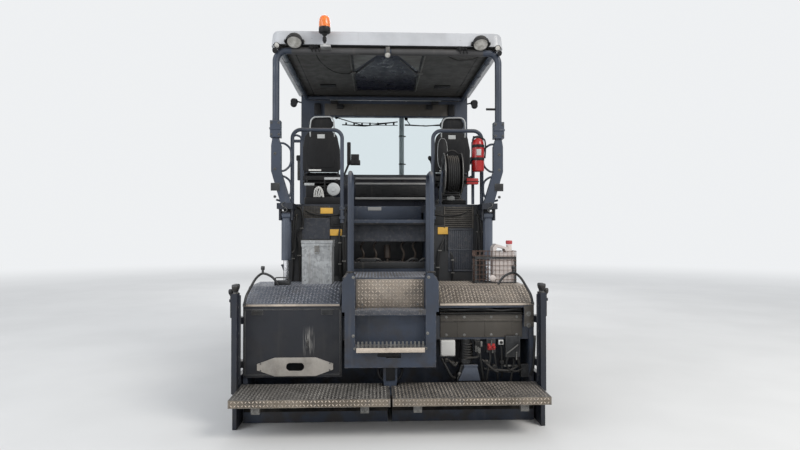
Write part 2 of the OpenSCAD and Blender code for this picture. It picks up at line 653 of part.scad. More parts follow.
push_r = 75;
push_y = nose_y - push_r;
push_z = 520;
push_x = [480, 900];
module push_beam() color(frame_blue) {
    span([-940, 940], [trough_y1, trough_y1 + 80], [push_z - 90, push_z + 60]);
    both() lashing_eye(940 - eye_t, trough_y1 + 40, push_z - 90);
    both() difference() {
        for (x = [push_x[0] - 20, push_x[1] + 5])
            prism_x([x, x + 15], [[trough_y1 + 80, push_z - 90], [push_y, push_z - 45], [push_y + 45, push_z],
                [push_y, push_z + 45], [trough_y1 + 80, push_z + 60]]);
        bar_x(20 + run_gap, [push_x[0] - 30, push_x[1] + 30], push_y, push_z);
    }
}
module push_roller(s) color(black_steel) flip(s) {
    bar_x(push_r, push_x, push_y, push_z);
    bar_x(20, [push_x[0] - 20, push_x[1] + 20], push_y, push_z);
}

// Hopper wings
wing_corner = [wing_reach - 110, wing_z + 170];
wing_foot = [hinge_x + 45, wing_z + 26];
// Height of the middle of the sloping floor plate over a place
function wing_floor(x) = wing_foot[1] - wing_t / 2
    + (x - wing_foot[0]) * (wing_corner[1] - wing_foot[1]) / (wing_corner[0] - wing_foot[0]);
ear_top = [wing_eye[0] - 60, wing_eye[0] + 60];
module hopper_wing(s) color(frame_blue) flip(s) difference() {
    union() {
        prism_y(wing_y, [wing_foot, wing_corner, [wing_reach - wing_t, rim_z],
            [wing_reach, rim_z], wing_corner + [wing_t, -wing_t], wing_foot - [0, wing_t]]);
        span([wing_reach - 30, wing_reach], wing_y, [rim_z - 20, rim_z]);
        // End plates and the ribs under the floor
        prism_y([wing_y[0], wing_y[0] + wing_t], [[hinge_x + 40, wing_z + 26], wing_corner,
            [wing_reach - wing_t, rim_z], [wing_reach - 260, rim_z]]);
        for (i = [0 : 5]) prism_y(about(wing_y[0] + 60 + i * (wing_y[1] - wing_y[0] - 130) / 5, [0, wing_t]),
            [[hinge_x + 60, wing_z + 20], [hinge_x + 70, wing_z - 25], wing_corner + [-40, -70],
             wing_corner + [wing_t, -wing_t]]);
        for (i = [0 : knuckles - 2]) {
            y = about(knuckle_at(i) + knuckle_pitch / 2, [-45, 45]);
            bar_y(knuckle_r, hinge_x, y, wing_z);
            span([hinge_x, hinge_x + 60], y, [wing_z + 4, wing_z + 22]);
        }
        // Ears for the cylinder's rod
        for (e = [-1, 1]) prism_y(about(wing_cyl_y + e * 38, [-8, 8]),
            [[ear_top[0], wing_floor(ear_top[0])], [wing_eye[0] - 35, wing_eye[1] - 20],
             [wing_eye[0], wing_eye[1] - 35], [wing_eye[0] + 35, wing_eye[1] - 20],
             [ear_top[1], wing_floor(ear_top[1])]]);
    }
    for (i = [0 : knuckles - 2])
        bar_y(wing_pin_r + run_gap, hinge_x, about(knuckle_at(i) + knuckle_pitch / 2, [-46, 46]), wing_z);
    for (e = [-1, 1]) bar_y(16, wing_eye[0], about(wing_cyl_y + e * 38, [-10, 10]), wing_eye[1]);
}

apron_l = 330;
apron_lean = 35;
module hopper_apron() color(frame_blue) difference() {
    translate([0, apron_y, apron_z]) rotate([-apron_lean, 0, 0]) {
        span([-690, 690], [-8, 8], [30, apron_l]);
        span([-690, 690], [8, 30], [apron_l - 30, apron_l]);
        for (x = [-400, -130, 130, 400]) span([x - 6, x + 6], [8, 40], [60, apron_l - 30]);
        both() span([562, 596], [-8, 8], [0, 32]);
        both() bar_x(25, [562, 596], 0, 0);
    }
    both() bar_x(15 + run_gap, [560, 598], apron_y, apron_z);
}

// Wing cylinders
function len2(a, b) = norm(b - a);
function ang2(a, b) = atan2(b[1] - a[1], b[0] - a[0]);
wing_cyl_l = len2(wing_pivot, wing_eye);
wing_cyl_a = ang2(wing_pivot, wing_eye);
barrel_l = 440;
module along_wing(s) flip(s) translate([wing_pivot[0], wing_cyl_y, wing_pivot[1]])
    rotate([0, -wing_cyl_a, 0]) children();
module wing_barrel(s) color(frame_blue) along_wing(s) difference() {
    union() {
        bar_x(40, [62, barrel_l], 0, 0);
        bar_x(26, [20, 62], 0, 0);
        bar_y(34, 0, [-28, 28], 0);
    }
    bar_y(20 + run_gap, 0, [-29, 29], 0);
    bar_x(22 + run_gap, [60, barrel_l + 1], 0, 0);
}
module wing_rod(s) color(chrome) along_wing(s) difference() {
    union() {
        bar_x(22, [barrel_l - 260, wing_cyl_l - 20], 0, 0);
        bar_y(30, wing_cyl_l, [-25, 25], 0);
    }
    bar_y(16, wing_cyl_l, [-29, 29], 0);
}

// Screed
lift_eye = [lift_y, 700];
// Sockets for a grade sensor's arm
socket_x = arm_x[1] + 20;
socket_y = chassis_y0 - 60;
socket_z = 790;
socket_r = 16;
arm_eye_y = track_y[0] + 170;
module tow_arms() color(frame_blue) both() difference() {
    union() {
        prism_x(arm_x, [[tow_y + 75, tow_z + 60], [tow_y - 60, tow_z + 110], [basic_y[1] + 20, 690],
            [basic_y[1] + 20, 330], [basic_y[1] + 200, 400], [track_y[0] + 100, 460],
            [tow_y - 60, tow_z - 80],
            [tow_y + 75, tow_z - 60]]);
        span(arm_x, about(basic_y[1], [0, 20]), [200, 760]);
        bar_z(socket_r + 14, socket_x, socket_y, [600, socket_z]);
        lashing_eye(arm_x[0] + 35, arm_eye_y, 465);
    }
    bar_z(socket_r, socket_x, socket_y, [socket_z - 90, socket_z + 1]);
    bar_x(tow_pin_r + run_gap, arm_x + [-1, 1], tow_y, tow_z);
}
// Brackets of the screed's lift cylinders
module lift_brackets() color(frame_blue) both() difference() {
    union() {
        for (e = [-1, 1]) prism_x(about(lift_x + e * 58, [-9, 9]), [[lift_y - 120, 640], [lift_y + 60, 640],
            [lift_y + 50, 720], [lift_y + 20, 745], [lift_y - 20, 745], [lift_y - 50, 720]]);
        span([lift_x - 67, arm_x[0]], [basic_y[1], lift_y + 60], [610, 640]);
    }
    bar_x(20, [lift_x - 80, lift_x + 80], lift_eye[0], lift_eye[1]);
}

basic_x = screed_w / 2 - 45;
// Guide tubes: [Y from the basic screed's middle, height] for the right extension; the left one's are higher
guides = [[-85, 520], [85, 520]];
guide_up = 220;
basic_mid = (basic_y[0] + basic_y[1]) / 2;
basic_top = 985;
module basic_screed() color(frame_blue) difference() {
    union() {
        span([-basic_x, basic_x], basic_y, [sole_z, 300]);
        span([-basic_x, basic_x], basic_y + [20, -20], [300, basic_top - 60]);
        span([-basic_x + 40, basic_x - 40], basic_y + [50, -50], [basic_top - 60, basic_top]);
    }
    for (g = guides) for (up = [0, guide_up])
        bar_x(guide_r + run_gap, [-basic_x - 1, basic_x + 1], basic_mid + g[0], g[1] + up);
}

ext_x = [20, screed_w / 2];
end_t = 38;
sole_h = 160;
cover_z0 = 398;
// Bolt holes for a bolt-on extension
bolt_z = [445, 825];
bolt_dy = 140;
bolt_r = 11;
walk_x = [niche_x + 15, screed_w / 2 + 5];
walk_y = [ext_y[0], basic_y[1]];
module extension(s) color(frame_blue) {
    flip(s) {
        // Sole with its tamper, front wall, top deck and both end plates
        span(ext_x, ext_y, [sole_z, sole_h]);
        span([ext_x[0], ext_x[1] - end_t], [ext_y[1] - 25, ext_y[1]], [sole_h, ext_h - 20]);
        span([ext_x[0], ext_x[1] - end_t], ext_y, [ext_h - 20, ext_h]);
        span([ext_x[0], ext_x[0] + 25], [ext_y[0], ext_y[1] - 25], [sole_h, ext_h - 20]);
        difference() {
            span([ext_x[1] - end_t, ext_x[1]], [ext_y[0], basic_y[1]], [sole_h, ext_h]);
            span([ext_x[1] - end_t - 1, ext_x[1] + 1], [ext_y[1] + 60, basic_y[1] - 60], [860, ext_h - 50]);
            for (y = [-1, 1]) for (z = bolt_z)
                bar_x(bolt_r, [ext_x[1] - end_t - 1, ext_x[1] + 1], basic_mid + y * bolt_dy, z);
        }
        span([ext_x[0] + 25, ext_x[1] - end_t], [ext_y[0] + 40, ext_y[0] + 120], beam_z);
        span(ext_x, [ext_y[0], ext_y[0] + 40], [sole_h, 310]);
        // Walkway on its deck
        prism_x(walk_x, [[ext_y[0], ext_h], [ext_y[0], ext_h + 22], [ext_y[0] + 260, walk_z],
            [walk_y[1], walk_z],
            [walk_y[1], walk_z - 30], [ext_y[0] + 270, walk_z - 30], [ext_y[0] + 40, ext_h]]);
        for (x = [walk_x[0], walk_x[1] - 30, 830]) prism_x([x, x + 25], [[ext_y[0] + 60, ext_h],
            [ext_y[0] + 270, walk_z - 30], [ext_y[1], walk_z - 30], [ext_y[1], ext_h]]);
    }
    // Guide tubes through the basic screed
    flip(s) for (g = guides) translate([0, basic_mid + g[0], g[1] + (s < 0 ? guide_up : 0)])
        difference() {
            bar_x(guide_r, [50 - basic_x, ext_x[1] - end_t], 0, 0);
            bar_x(guide_r - 12, [49 - basic_x, ext_x[1] - end_t - 10], 0, 0);
        }
    // The right side is open but for a plate at its outer end
    if (s > 0) span([bay_x1 - 53, cover_x[1]], about(ext_y[0], [-cover_t, 0]), [822, ext_h]);
}

// Cover of the left side, and the bright plate round its grip hole
cover_t = 12;
grip_t = 8;
cover_x = [niche_x, ext_x[1] - 2];
grip_mid = [(cover_x[0] + cover_x[1]) / 2 - 23.5, 490];
grip_half = [(cover_x[1] - cover_x[0]) / 2 - 98.5, 80];
grip_hole = [43, 35];
module grip_slot(y) {
    for (e = [-1, 1]) bar_y(grip_hole[1], grip_mid[0] + e * grip_hole[0], y, grip_mid[1]);
    span(about(grip_mid[0], [-1, 1] * grip_hole[0]), y, about(grip_mid[1], [-1, 1] * grip_hole[1]));
}
module left_cover() color(panel_dark) flip(-1) difference() {
    span(cover_x, about(ext_y[0], [-cover_t, 0]), [cover_z0, ext_h]);
    grip_slot(about(ext_y[0], [-cover_t - 1, 1]));
}
module grip_plate() color("#c9c5bd") flip(-1) difference() {
    prism_y(about(ext_y[0] - cover_t, [-grip_t, 0]),
        [for (q = [[-1, -0.33], [-0.54, -1], [0.54, -1], [1, -0.33],
        [1, 0.33], [0.54, 1], [-0.54, 1], [-1, 0.33]])
        [grip_mid[0] + q[0] * grip_half[0], grip_mid[1] + q[1] * grip_half[1]]]);
    grip_slot(about(ext_y[0] - cover_t, [-grip_t - 1, 1]));
}

// Gear in the open bay of the right extension
bay_y0 = ext_y[0] + 40;
beam_z = [707, 918];
bay_x1 = ext_x[1] - end_t;
// Each box is [x range from the end plate, how far it stands out to the rear, depth, z range]
bay_boxes = [
    [[-794, -656], 0, 60, [555, beam_z[0]]],
    [[-482, -437], 0, 50, [600, beam_z[0]]],
    [[-375, -297], 0, 50, [590, beam_z[0]]],
    [[-275, -225], 8, 48, [655, beam_z[0]]],
    [[-212, -85], 35, 35, [553, 739]],
    [[-67, 0], 0, 60, [367, 482]],
];
ram_x = bay_x1 - 559;
module bay_gear() color(black_steel) {
    for (b = bay_boxes) span(about(bay_x1, b[0]), about(bay_y0 - b[1], [0, b[2]]), b[3]);
    // Height cylinder on its foot
    prism_y(about(bay_y0, [0, 90]), [[ram_x - 78, sole_h], [ram_x + 119, sole_h], [ram_x + 119, 361],
        [ram_x + 87, 478], [ram_x - 46, 478], [ram_x - 78, 361]]);
    bar_z(48, ram_x, bay_y0 + 50, [478, beam_z[0]]);
    bar_z(60, ram_x, bay_y0 + 50, [500, 530]);
}

gate_x = [screed_w / 2 + 15, screed_w / 2 + 50];
module end_gate(s) color(panel_dark) flip(s) {
    prism_x(gate_x, [[board_y[0] + 330, sole_z], [basic_y[1] + 180, sole_z], [basic_y[1] + 180, 330],
        [basic_y[1] - 60, 420], [board_y[0] + 480, 420], [board_y[0] + 330, 300]]);
    span(gate_x + [0, 10], [ext_y[0] - 170, ext_y[0] - 60], [300, 1140]);
    for (y = [ext_y[0] - 150, ext_y[0] - 90]) {
        bar_z(14, gate_x[0] + 20, y, [1140, 1190]);
        bar_z(26, gate_x[0] + 20, y, [1190, 1215]);
    }
    for (z = [480, 860]) span([screed_w / 2, gate_x[0]], [ext_y[0], ext_y[0] + 80], [z, z + 60]);
    for (z = [480, 860]) span([gate_x[0], gate_x[1]], [ext_y[0] - 60, ext_y[0] + 80], [z, z + 60]);
}

board_x = [10, screed_w / 2 + 5];
board_h = 63;
fold = 3;
module footboard(s) color(worn_alloy) flip(s) {
    difference() {
        prism_x(board_x, [[board_y[0], board_z - board_h], [board_y[0], board_z], [board_y[1], board_z],
            [board_y[1], board_z - 40], [board_y[0] + 40, board_z - board_h]]);
        span([0, pillar_w + 10], [stair_y[0] + 60, board_y[1] + 1], [board_z - board_h - 7, board_z + 1]);
        // The tread plate of the rear face lies inside the folded ends
        span(board_x + [6, -6], about(board_y[0], [-fold, fold]), [board_z - board_h - 1, board_z + 1]);
    }
    for (x = [150, 1060]) span([x, x + 90], [board_y[1] - 60, ext_y[0]], [board_z - 130, board_z - 40]);
}

stair_y = [ext_y[0] - 170, ext_y[0] - 25];
stair_w = 412;
cheek_w = 112;
tread_z = [1000, 1263];
step_z = 690;
over_ext = ext_h + 12;
pillar_w = 60;
bumper_z = [255, 370];
module stair_unit() color(frame_blue) {
    inner = stair_w - cheek_w;
    // Cheeks of the stair, with the slope that carries the handrail
    both() prism_y(stair_y, [[inner, 510], [stair_w - 24, 510], [stair_w - 24, 980], [stair_w, 980],
        [stair_w, 1235],
        [stair_w - 52, 1312], [inner + 18, 1312], [inner, tread_z[1]]]);
    difference() {
        span([-inner, inner], stair_y, [510, tread_z[0]]);
        span([-inner, inner], [stair_y[0] - 1, stair_y[1] - 50], [step_z, tread_z[0] - 49]);
        span([-40, 90], [stair_y[0] - 1, stair_y[0] + 40], [592, 635]);
    }
    // Toothed edge of the lower step
    span([-inner + 10, inner - 10], [stair_y[0] - 50, stair_y[0] + 20], [step_z - 45, step_z]);
    for (i = [0 : 16]) span(about(-inner + 22 + i * 34, [0, 14]), [stair_y[0] - 50, stair_y[0] - 38],
        [step_z, step_z + 48]);
    // Riser, upper tread and the plates under it that stand on the basic screed
    span([-inner, inner], about(stair_y[1], [-12, 0]), tread_z);
    span([-stair_w, stair_w], [stair_y[1] - 12, basic_y[1] - 60], about(tread_z[1], [-15, 0]));
    both() span([stair_w - 12, stair_w], [stair_y[1], basic_y[1] - 60], [over_ext, tread_z[1] - 15]);
    both() span([stair_w - 12, stair_w], basic_y + [60, -60], [basic_top, over_ext]);
    // Pillar with its bumper between the footboards
    span([-pillar_w, pillar_w], [stair_y[0] + 75, stair_y[1]], [bumper_z[1], 510]);
    span([-pillar_w + 5, pillar_w - 5], [stair_y[0] + 75, stair_y[1]], bumper_z);
}

rail_x = [-345, 355];
rail_y = [stair_y[0] + 30, stair_y[0] + 430];
rail_top = tread_z[1] + 912;
module handrails() color(frame_blue) for (x = rail_x) {
    translate([x, (rail_y[0] + rail_y[1]) / 2, 1312]) rotate([0, 0, 90])
        hoop(rail_y[1] - rail_y[0], rail_top - 1312, 110, 19);
    bar_z(19, x, rail_y[1], [tread_z[1], 1312]);
}

box_x = about(-walk_x[1], [450, 735]);
box_y = [ext_y[0] + 480, ext_y[0] + 760];
box_h = 390;
lid_pin = [box_y[1] + 12, walk_z + box_h + 10];
module toolbox() color("#a9aba8") {
    difference() {
        span(box_x, box_y, [walk_z, walk_z + box_h]);
        span(box_x + [12, -12], box_y + [12, -12], [walk_z + 12, walk_z + box_h + 1]);
    }
    for (x = [box_x[0], box_x[1] - 15]) span([x, x + 15], [box_y[1], lid_pin[0] + 8],
        [lid_pin[1] - 50, lid_pin[1] + 8]);
    bar_x(4, box_x, lid_pin[0], lid_pin[1]);
}
module toolbox_lid() color("#a9aba8") difference() {
    union() {
        span(box_x + [-8, 8], box_y + [-8, -3], [walk_z + box_h + 3, walk_z + box_h + 30]);
        span(box_x + [20, -20], [box_y[1] - 3, lid_pin[0]], about(lid_pin[1], [-4, 4]));
        bar_x(9, box_x + [20, -20], lid_pin[0], lid_pin[1]);
    }
    bar_x(4 + run_gap, box_x + [19, -19], lid_pin[0], lid_pin[1]);
}

can_x = about(walk_x[1], [-265, -55]);
module jerrycan() color("#d8c9c4") difference() {
    union() {
        prism_y(about(box_y[0], [20, 160]),
            [[can_x[0], walk_z + 7], [can_x[1], walk_z + 7], [can_x[1], walk_z + 300],
            [can_x[1] - 70, walk_z + 350], [can_x[0] + 30, walk_z + 385], [can_x[0], walk_z + 350]]);
        bar_z(27, can_x[1] - 38, box_y[0] + 90, [walk_z + 300, walk_z + 375]);
    }
    prism_y(about(box_y[0], [19, 161]), [[can_x[0] + 28, walk_z + 310], [can_x[1] - 80, walk_z + 300],
        [can_x[1] - 95, walk_z + 335], [can_x[0] + 40, walk_z + 355]]);
}
basket_x = can_x + [-180, 15];
basket_y = about(box_y[0], [5, 175]);
basket_z = about(walk_z, [0, 260]);
basket_t = 6;
basket_bar = 20;
module can_basket() color(black_steel) difference() {
    span(basket_x, basket_y, basket_z);
    span(basket_x + basket_t * [1, -1], basket_y + basket_t * [1, -1], basket_z + [basket_t + 1, 1]);
    // Open between the corner angles, the tray and the rim
    span(basket_x + basket_bar * [1, -1], basket_y + [-1, 1], basket_z + [2 * basket_t + 2, -basket_bar]);
    span(basket_x + [-1, 1], basket_y + basket_bar * [1, -1], basket_z + [2 * basket_t + 2, -basket_bar]);
}

reel_x = [590, 775];
reel_y = guard_y - 20;
reel_z = floor_z + 320;
reel_r = 220;
hose_r = 17;
module hose_reel() color(black_steel) difference() {
    union() {
        for (x = [reel_x[0], reel_x[1] - 8]) bar_x(reel_r, [x, x + 8], reel_y, reel_z);
        bar_x(reel_r - 60, reel_x, reel_y, reel_z);
        // The wound hose, turn by turn
        for (i = [0 : 3]) translate([reel_x[0] + 26 + i * 36, reel_y, reel_z]) rotate([0, 90, 0])
            rotate_extrude() translate([reel_r - 60, 0]) circle(r = hose_r);
    }
    bar_x(20 + run_gap, reel_x + [-1, 1], reel_y, reel_z);
}
module reel_stand() {
    prism_x([reel_x[0] - 22, reel_x[0] - 10], [[platform_y[0], floor_z], [reel_y - 45, reel_z - 40],
        [reel_y - 45, reel_z + 30], [reel_y + 45, reel_z + 30], [platform_y[0] + 160, floor_z + 120],
        [platform_y[0] + 160, floor_z]]);
    bar_x(20, [reel_x[0] - 22, reel_x[1] + 12], reel_y, reel_z);
    bar_x(34, [reel_x[1] + 5, reel_x[1] + 12], reel_y, reel_z);
}

// Screed lift cylinders
lift_l = lift_top[1] - lift_eye[1];
module lift_barrels() color("#4c6a85") both() difference() {
    union() {
        bar_z(50, lift_x, lift_y, about(lift_top[1], [-460, -30]));
        bar_x(38, about(lift_x, [-45, 45]), lift_y, lift_top[1]);
    }
    bar_x(22 + run_gap, about(lift_x, [-46, 46]), lift_y, lift_top[1]);
    bar_z(25 + run_gap, lift_x, lift_y, about(lift_top[1], [-470, -60]));
}
module lift_rods() color(chrome) both() difference() {
    union() {
        bar_z(25, lift_x, lift_y, [lift_eye[1] + 25, lift_top[1] - 440]);
        bar_x(34, about(lift_x, [-45, 45]), lift_y, lift_eye[1]);
    }
    bar_x(20, about(lift_x, [-46, 46]), lift_y, lift_eye[1]);
}

chassis();
chassis_fittings();
track(-1);  // left_track
track(1);  // right_track
track_frames();
track_wheels();
conveyor_chains();
rear_body();
cabinets();
platform();
engine();
engine_bay();
control_desk();
seats();
guard_hoops();
roof_frame();
roof_lining();
roof_shell();
windshield();
work_lamps();
beacon();
extinguisher();
exhaust();
auger_carrier();
push_beam();
hopper_wing(-1);  // hopper_wing_left
hopper_wing(1);  // hopper_wing_right
hopper_apron();
push_roller(-1);  // push_roller_left
push_roller(1);  // push_roller_right
auger(-1);  // auger_left
auger(1);  // auger_right
engine_hood();
side_door(-1);  // side_door_left
side_door(1);  // side_door_right
hose_reel();
tow_arms();
lift_brackets();
basic_screed();
stair_unit();
handrails();
extension(-1);  // extension_left
extension(1);  // extension_right
left_cover();
end_gate(-1);  // end_gate_left
end_gate(1);  // end_gate_right
footboard(-1);  // footboard_left
footboard(1);  // footboard_right
grip_plate();
bay_gear();
toolbox();
toolbox_lid();
jerrycan();
can_basket();
lift_barrels();
lift_rods();
wing_barrel(-1);  // wing_barrel_left
wing_barrel(1);  // wing_barrel_right
wing_rod(-1);  // wing_rod_left
wing_rod(1);  // wing_rod_right
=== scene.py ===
"""The looks of a tracked asphalt paver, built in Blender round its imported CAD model."""

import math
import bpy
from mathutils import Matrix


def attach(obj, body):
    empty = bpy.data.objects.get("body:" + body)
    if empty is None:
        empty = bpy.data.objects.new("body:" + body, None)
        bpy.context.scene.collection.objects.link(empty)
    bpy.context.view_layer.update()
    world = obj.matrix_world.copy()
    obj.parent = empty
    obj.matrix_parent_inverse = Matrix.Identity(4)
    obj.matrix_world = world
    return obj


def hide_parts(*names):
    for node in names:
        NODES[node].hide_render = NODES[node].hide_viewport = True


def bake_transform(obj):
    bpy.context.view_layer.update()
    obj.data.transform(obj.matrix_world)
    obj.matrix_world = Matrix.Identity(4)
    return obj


bl_info = {
    "name": "Asphalt paver",
    "version": (1, 0, 0),
    "blender": (4, 5, 0),
    "location": "View3D > Sidebar > Paver",
    "description": "Finishes and detail of a tracked asphalt paver with a roofed platform",
    "category": "Object",
}

import bmesh
import bpy
from bpy.props import FloatProperty, FloatVectorProperty, PointerProperty
from bpy.types import Operator, Panel, PropertyGroup
from mathutils import Matrix, Vector

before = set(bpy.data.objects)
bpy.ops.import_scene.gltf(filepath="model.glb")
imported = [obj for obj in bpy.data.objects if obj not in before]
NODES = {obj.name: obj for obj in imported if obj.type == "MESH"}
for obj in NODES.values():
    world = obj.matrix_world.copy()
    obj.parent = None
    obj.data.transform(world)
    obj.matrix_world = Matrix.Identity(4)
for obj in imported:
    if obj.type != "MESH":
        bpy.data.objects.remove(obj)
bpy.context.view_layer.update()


# Settings


def colour(name, about, default):
    """A colour that a user may change."""
    return FloatVectorProperty(name=name, description=about, subtype="COLOR", min=0, max=1, default=default)


class PaverColours(PropertyGroup):
    """Colours of the machine's finishes, as linear values."""

    frame_paint: colour("Frame paint", "Slate blue of the steel frame and tubes", (0.03, 0.04, 0.062))
    panel_paint: colour("Panel paint", "Near black of the cover panels", (0.0105, 0.014, 0.023))
    cover_paint: colour("Cover paint", "Near black of the cover on the left side", (0.0075, 0.009, 0.0145))
    lift_paint: colour("Cylinder paint", "Blue grey of the screed lift cylinders", (0.072, 0.086, 0.116))
    roof_shell: colour("Roof shell", "Light grey gel coat of the roof", (0.46, 0.47, 0.49))
    roof_lining: colour("Roof lining", "Moulded lining under the roof", (0.047, 0.045, 0.042))
    worn_alloy: colour("Worn alloy", "Chequer plate that boots keep bright", (0.36, 0.31, 0.26))
    dust: colour("Dust", "Dry dust on faces that look up", (0.3, 0.265, 0.225))
    bitumen: colour("Bitumen", "Brown film of old mix", (0.03, 0.024, 0.019))


class PaverSizes(PropertyGroup):
    """Sizes that set how worn and how lit the machine looks."""

    wear: FloatProperty(name="Edge wear", description="Share of the edges rubbed bright", min=0, max=1, default=0.5)
    grime: FloatProperty(name="Grime", description="Amount of dust and film", min=0, max=1, default=0.55)
    edge: FloatProperty(
        name="Edge radius", description="Rounding that shows on sheared plate", subtype="DISTANCE", unit="LENGTH",
        min=0.0005, max=0.01, default=0.003,
    )


def colours():
    """The colours that the scene holds."""
    return bpy.context.scene.paver_colours


def sizes():
    """The wear and edge sizes that the scene holds."""
    return bpy.context.scene.paver_sizes


# Materials


class Nodes:
    """A node tree under construction."""

    def __init__(self, tree):
        self.tree = tree
        tree.nodes.clear()

    def add(self, kind, inputs=None, **values):
        """A node with its settings, and a link or a plain value in each given input."""
        node = self.tree.nodes.new("ShaderNode" + kind)
        for key, value in values.items():
            setattr(node, key, value)
        for key, value in (inputs or {}).items():
            self.feed(node.inputs[key], value)
        return node

    def join(self, output, socket):
        """Links an output to an input."""
        self.tree.links.new(output, socket)

    def feed(self, socket, value):
        """Gives a socket a link or a plain value."""
        if isinstance(value, bpy.types.NodeSocket):
            self.join(value, socket)
        else:
            socket.default_value = value

    def math(self, operation, *values, clamp=False):
        """The outcome of one sum on links or plain values."""
        return self.add("Math", dict(enumerate(values)), operation=operation, use_clamp=clamp).outputs["Value"]

    def seen(self):
        """1 for rays from the camera, through glass or off metal, 0 for the light that falls on the machine."""
        rays = self.add("LightPath").outputs
        direct = self.math("MAXIMUM", rays["Is Camera Ray"], rays["Is Transmission Ray"])
        return self.math("MAXIMUM", direct, rays["Is Glossy Ray"])


class Finish(Nodes):
    """A node material that is built up from its base colour outwards."""

    def __init__(self, name):
        self.material = bpy.data.materials.new(name)
        self.material.use_nodes = True
        super().__init__(self.material.node_tree)
        self.shader = self.add("BsdfPrincipled")
        self.output = self.add("OutputMaterial")
        self.join(self.shader.outputs["BSDF"], self.output.inputs["Surface"])
        self.place = self.add("TexCoord").outputs["Object"]
        self.geometry = self.add("NewGeometry")

    def noise(self, scale, detail=4.0, stretch=(1, 1, 1)):
        """Noise over the piece, scale in waves per metre."""
        mapping = self.add("Mapping", {"Scale": [scale * s for s in stretch], "Vector": self.place})
        return self.add("TexNoise", {
            "Scale": 1.0, "Detail": detail, "Roughness": 0.55, "Vector": mapping.outputs["Vector"],
        }).outputs["Fac"]

    def ramp(self, value, low, high, out_low=0.0, out_high=1.0):
        """Maps a range of a value smoothly on to another."""
        return self.add("MapRange", {
            "Value": value, "From Min": low, "From Max": high, "To Min": out_low, "To Max": out_high,
        }, interpolation_type="SMOOTHSTEP").outputs["Result"]

    def times(self, a, b):
        """The product of two shares, kept between 0 and 1."""
        return self.math("MULTIPLY", a, b, clamp=True)

    def split(self, vector):
        """The outputs X, Y and Z of a vector."""
        return self.add("SeparateXYZ", {"Vector": vector}).outputs

    def colour(self, value):
        """A link to a colour as it is, or a colour with its alpha."""
        return value if isinstance(value, bpy.types.NodeSocket) else (*value, 1)

    def blend(self, share, a, b):
        """Colour a where share is 0 and b where it is 1."""
        inputs = {"Factor": share, "A": self.colour(a), "B": self.colour(b)}
        return self.add("Mix", inputs, data_type="RGBA").outputs["Result"]

    def facing_up(self):
        """1 on faces that look up, 0 on walls and undersides."""
        return self.ramp(self.split(self.geometry.outputs["Normal"])["Z"], 0.35, 0.9)

    def height(self, low, high):
        """1 below low and 0 above high, both over the ground at rest."""
        return self.ramp(self.split(self.place)["Z"], low, high, 1.0, 0.0)

    def scuffed(self, x, z, half_x, half_z):
        """Upright scratches that thin out from the middle of a patch."""
        split = self.split(self.place)
        share = self.ramp(self.noise(1.0, 3, (150, 150, 5)), 0.5, 0.66)
        for key, middle, half in (("X", x, half_x), ("Z", z, half_z)):
            away = self.math("ABSOLUTE", self.math("SUBTRACT", split[key], middle))
            share = self.times(share, self.ramp(away, half * 0.3, half, 1.0, 0.0))
        return share

    def rounded(self, radius):
        """The normal with the edges rounded."""
        return self.add("Bevel", {"Radius": radius}, samples=4).outputs["Normal"]

    def edges(self, reach):
        """1 along outer edges, from how far a rounded normal turns from the true one."""
        normals = {0: self.rounded(reach), 1: self.geometry.outputs["True Normal"]}
        return self.ramp(self.add("VectorMath", normals, operation="DOT_PRODUCT").outputs["Value"], 0.995, 0.9)

    def bump(self, height, strength, distance, radius=None):
        """A bump over edges that are rounded in the shading."""
        node = self.add("Bump", {"Strength": strength, "Distance": distance, "Height": height})
        if radius:
            self.join(self.rounded(radius), node.inputs["Normal"])
        self.join(node.outputs["Normal"], self.shader.inputs["Normal"])

    def surface(self, base, roughness, metallic=0.0, **others):
        """Feeds the shader; other inputs are given by name with _ for each space."""
        values = {"Base Color": self.colour(base), "Roughness": roughness, "Metallic": metallic}
        values.update((key.replace("_", " "), value) for key, value in others.items())
        for key, value in values.items():
            self.feed(self.shader.inputs[key], value)

    def waves(self, direction, scale, distortion=0.0):
        """Fine flutes across a direction."""
        inputs = {"Scale": scale, "Distortion": distortion, "Vector": self.place}
        return self.add("TexWave", inputs, wave_type="BANDS", bands_direction=direction).outputs["Fac"]


def shade(rgb, by):
    """A colour made lighter or darker."""
    return [min(1.0, c * by) for c in rgb]


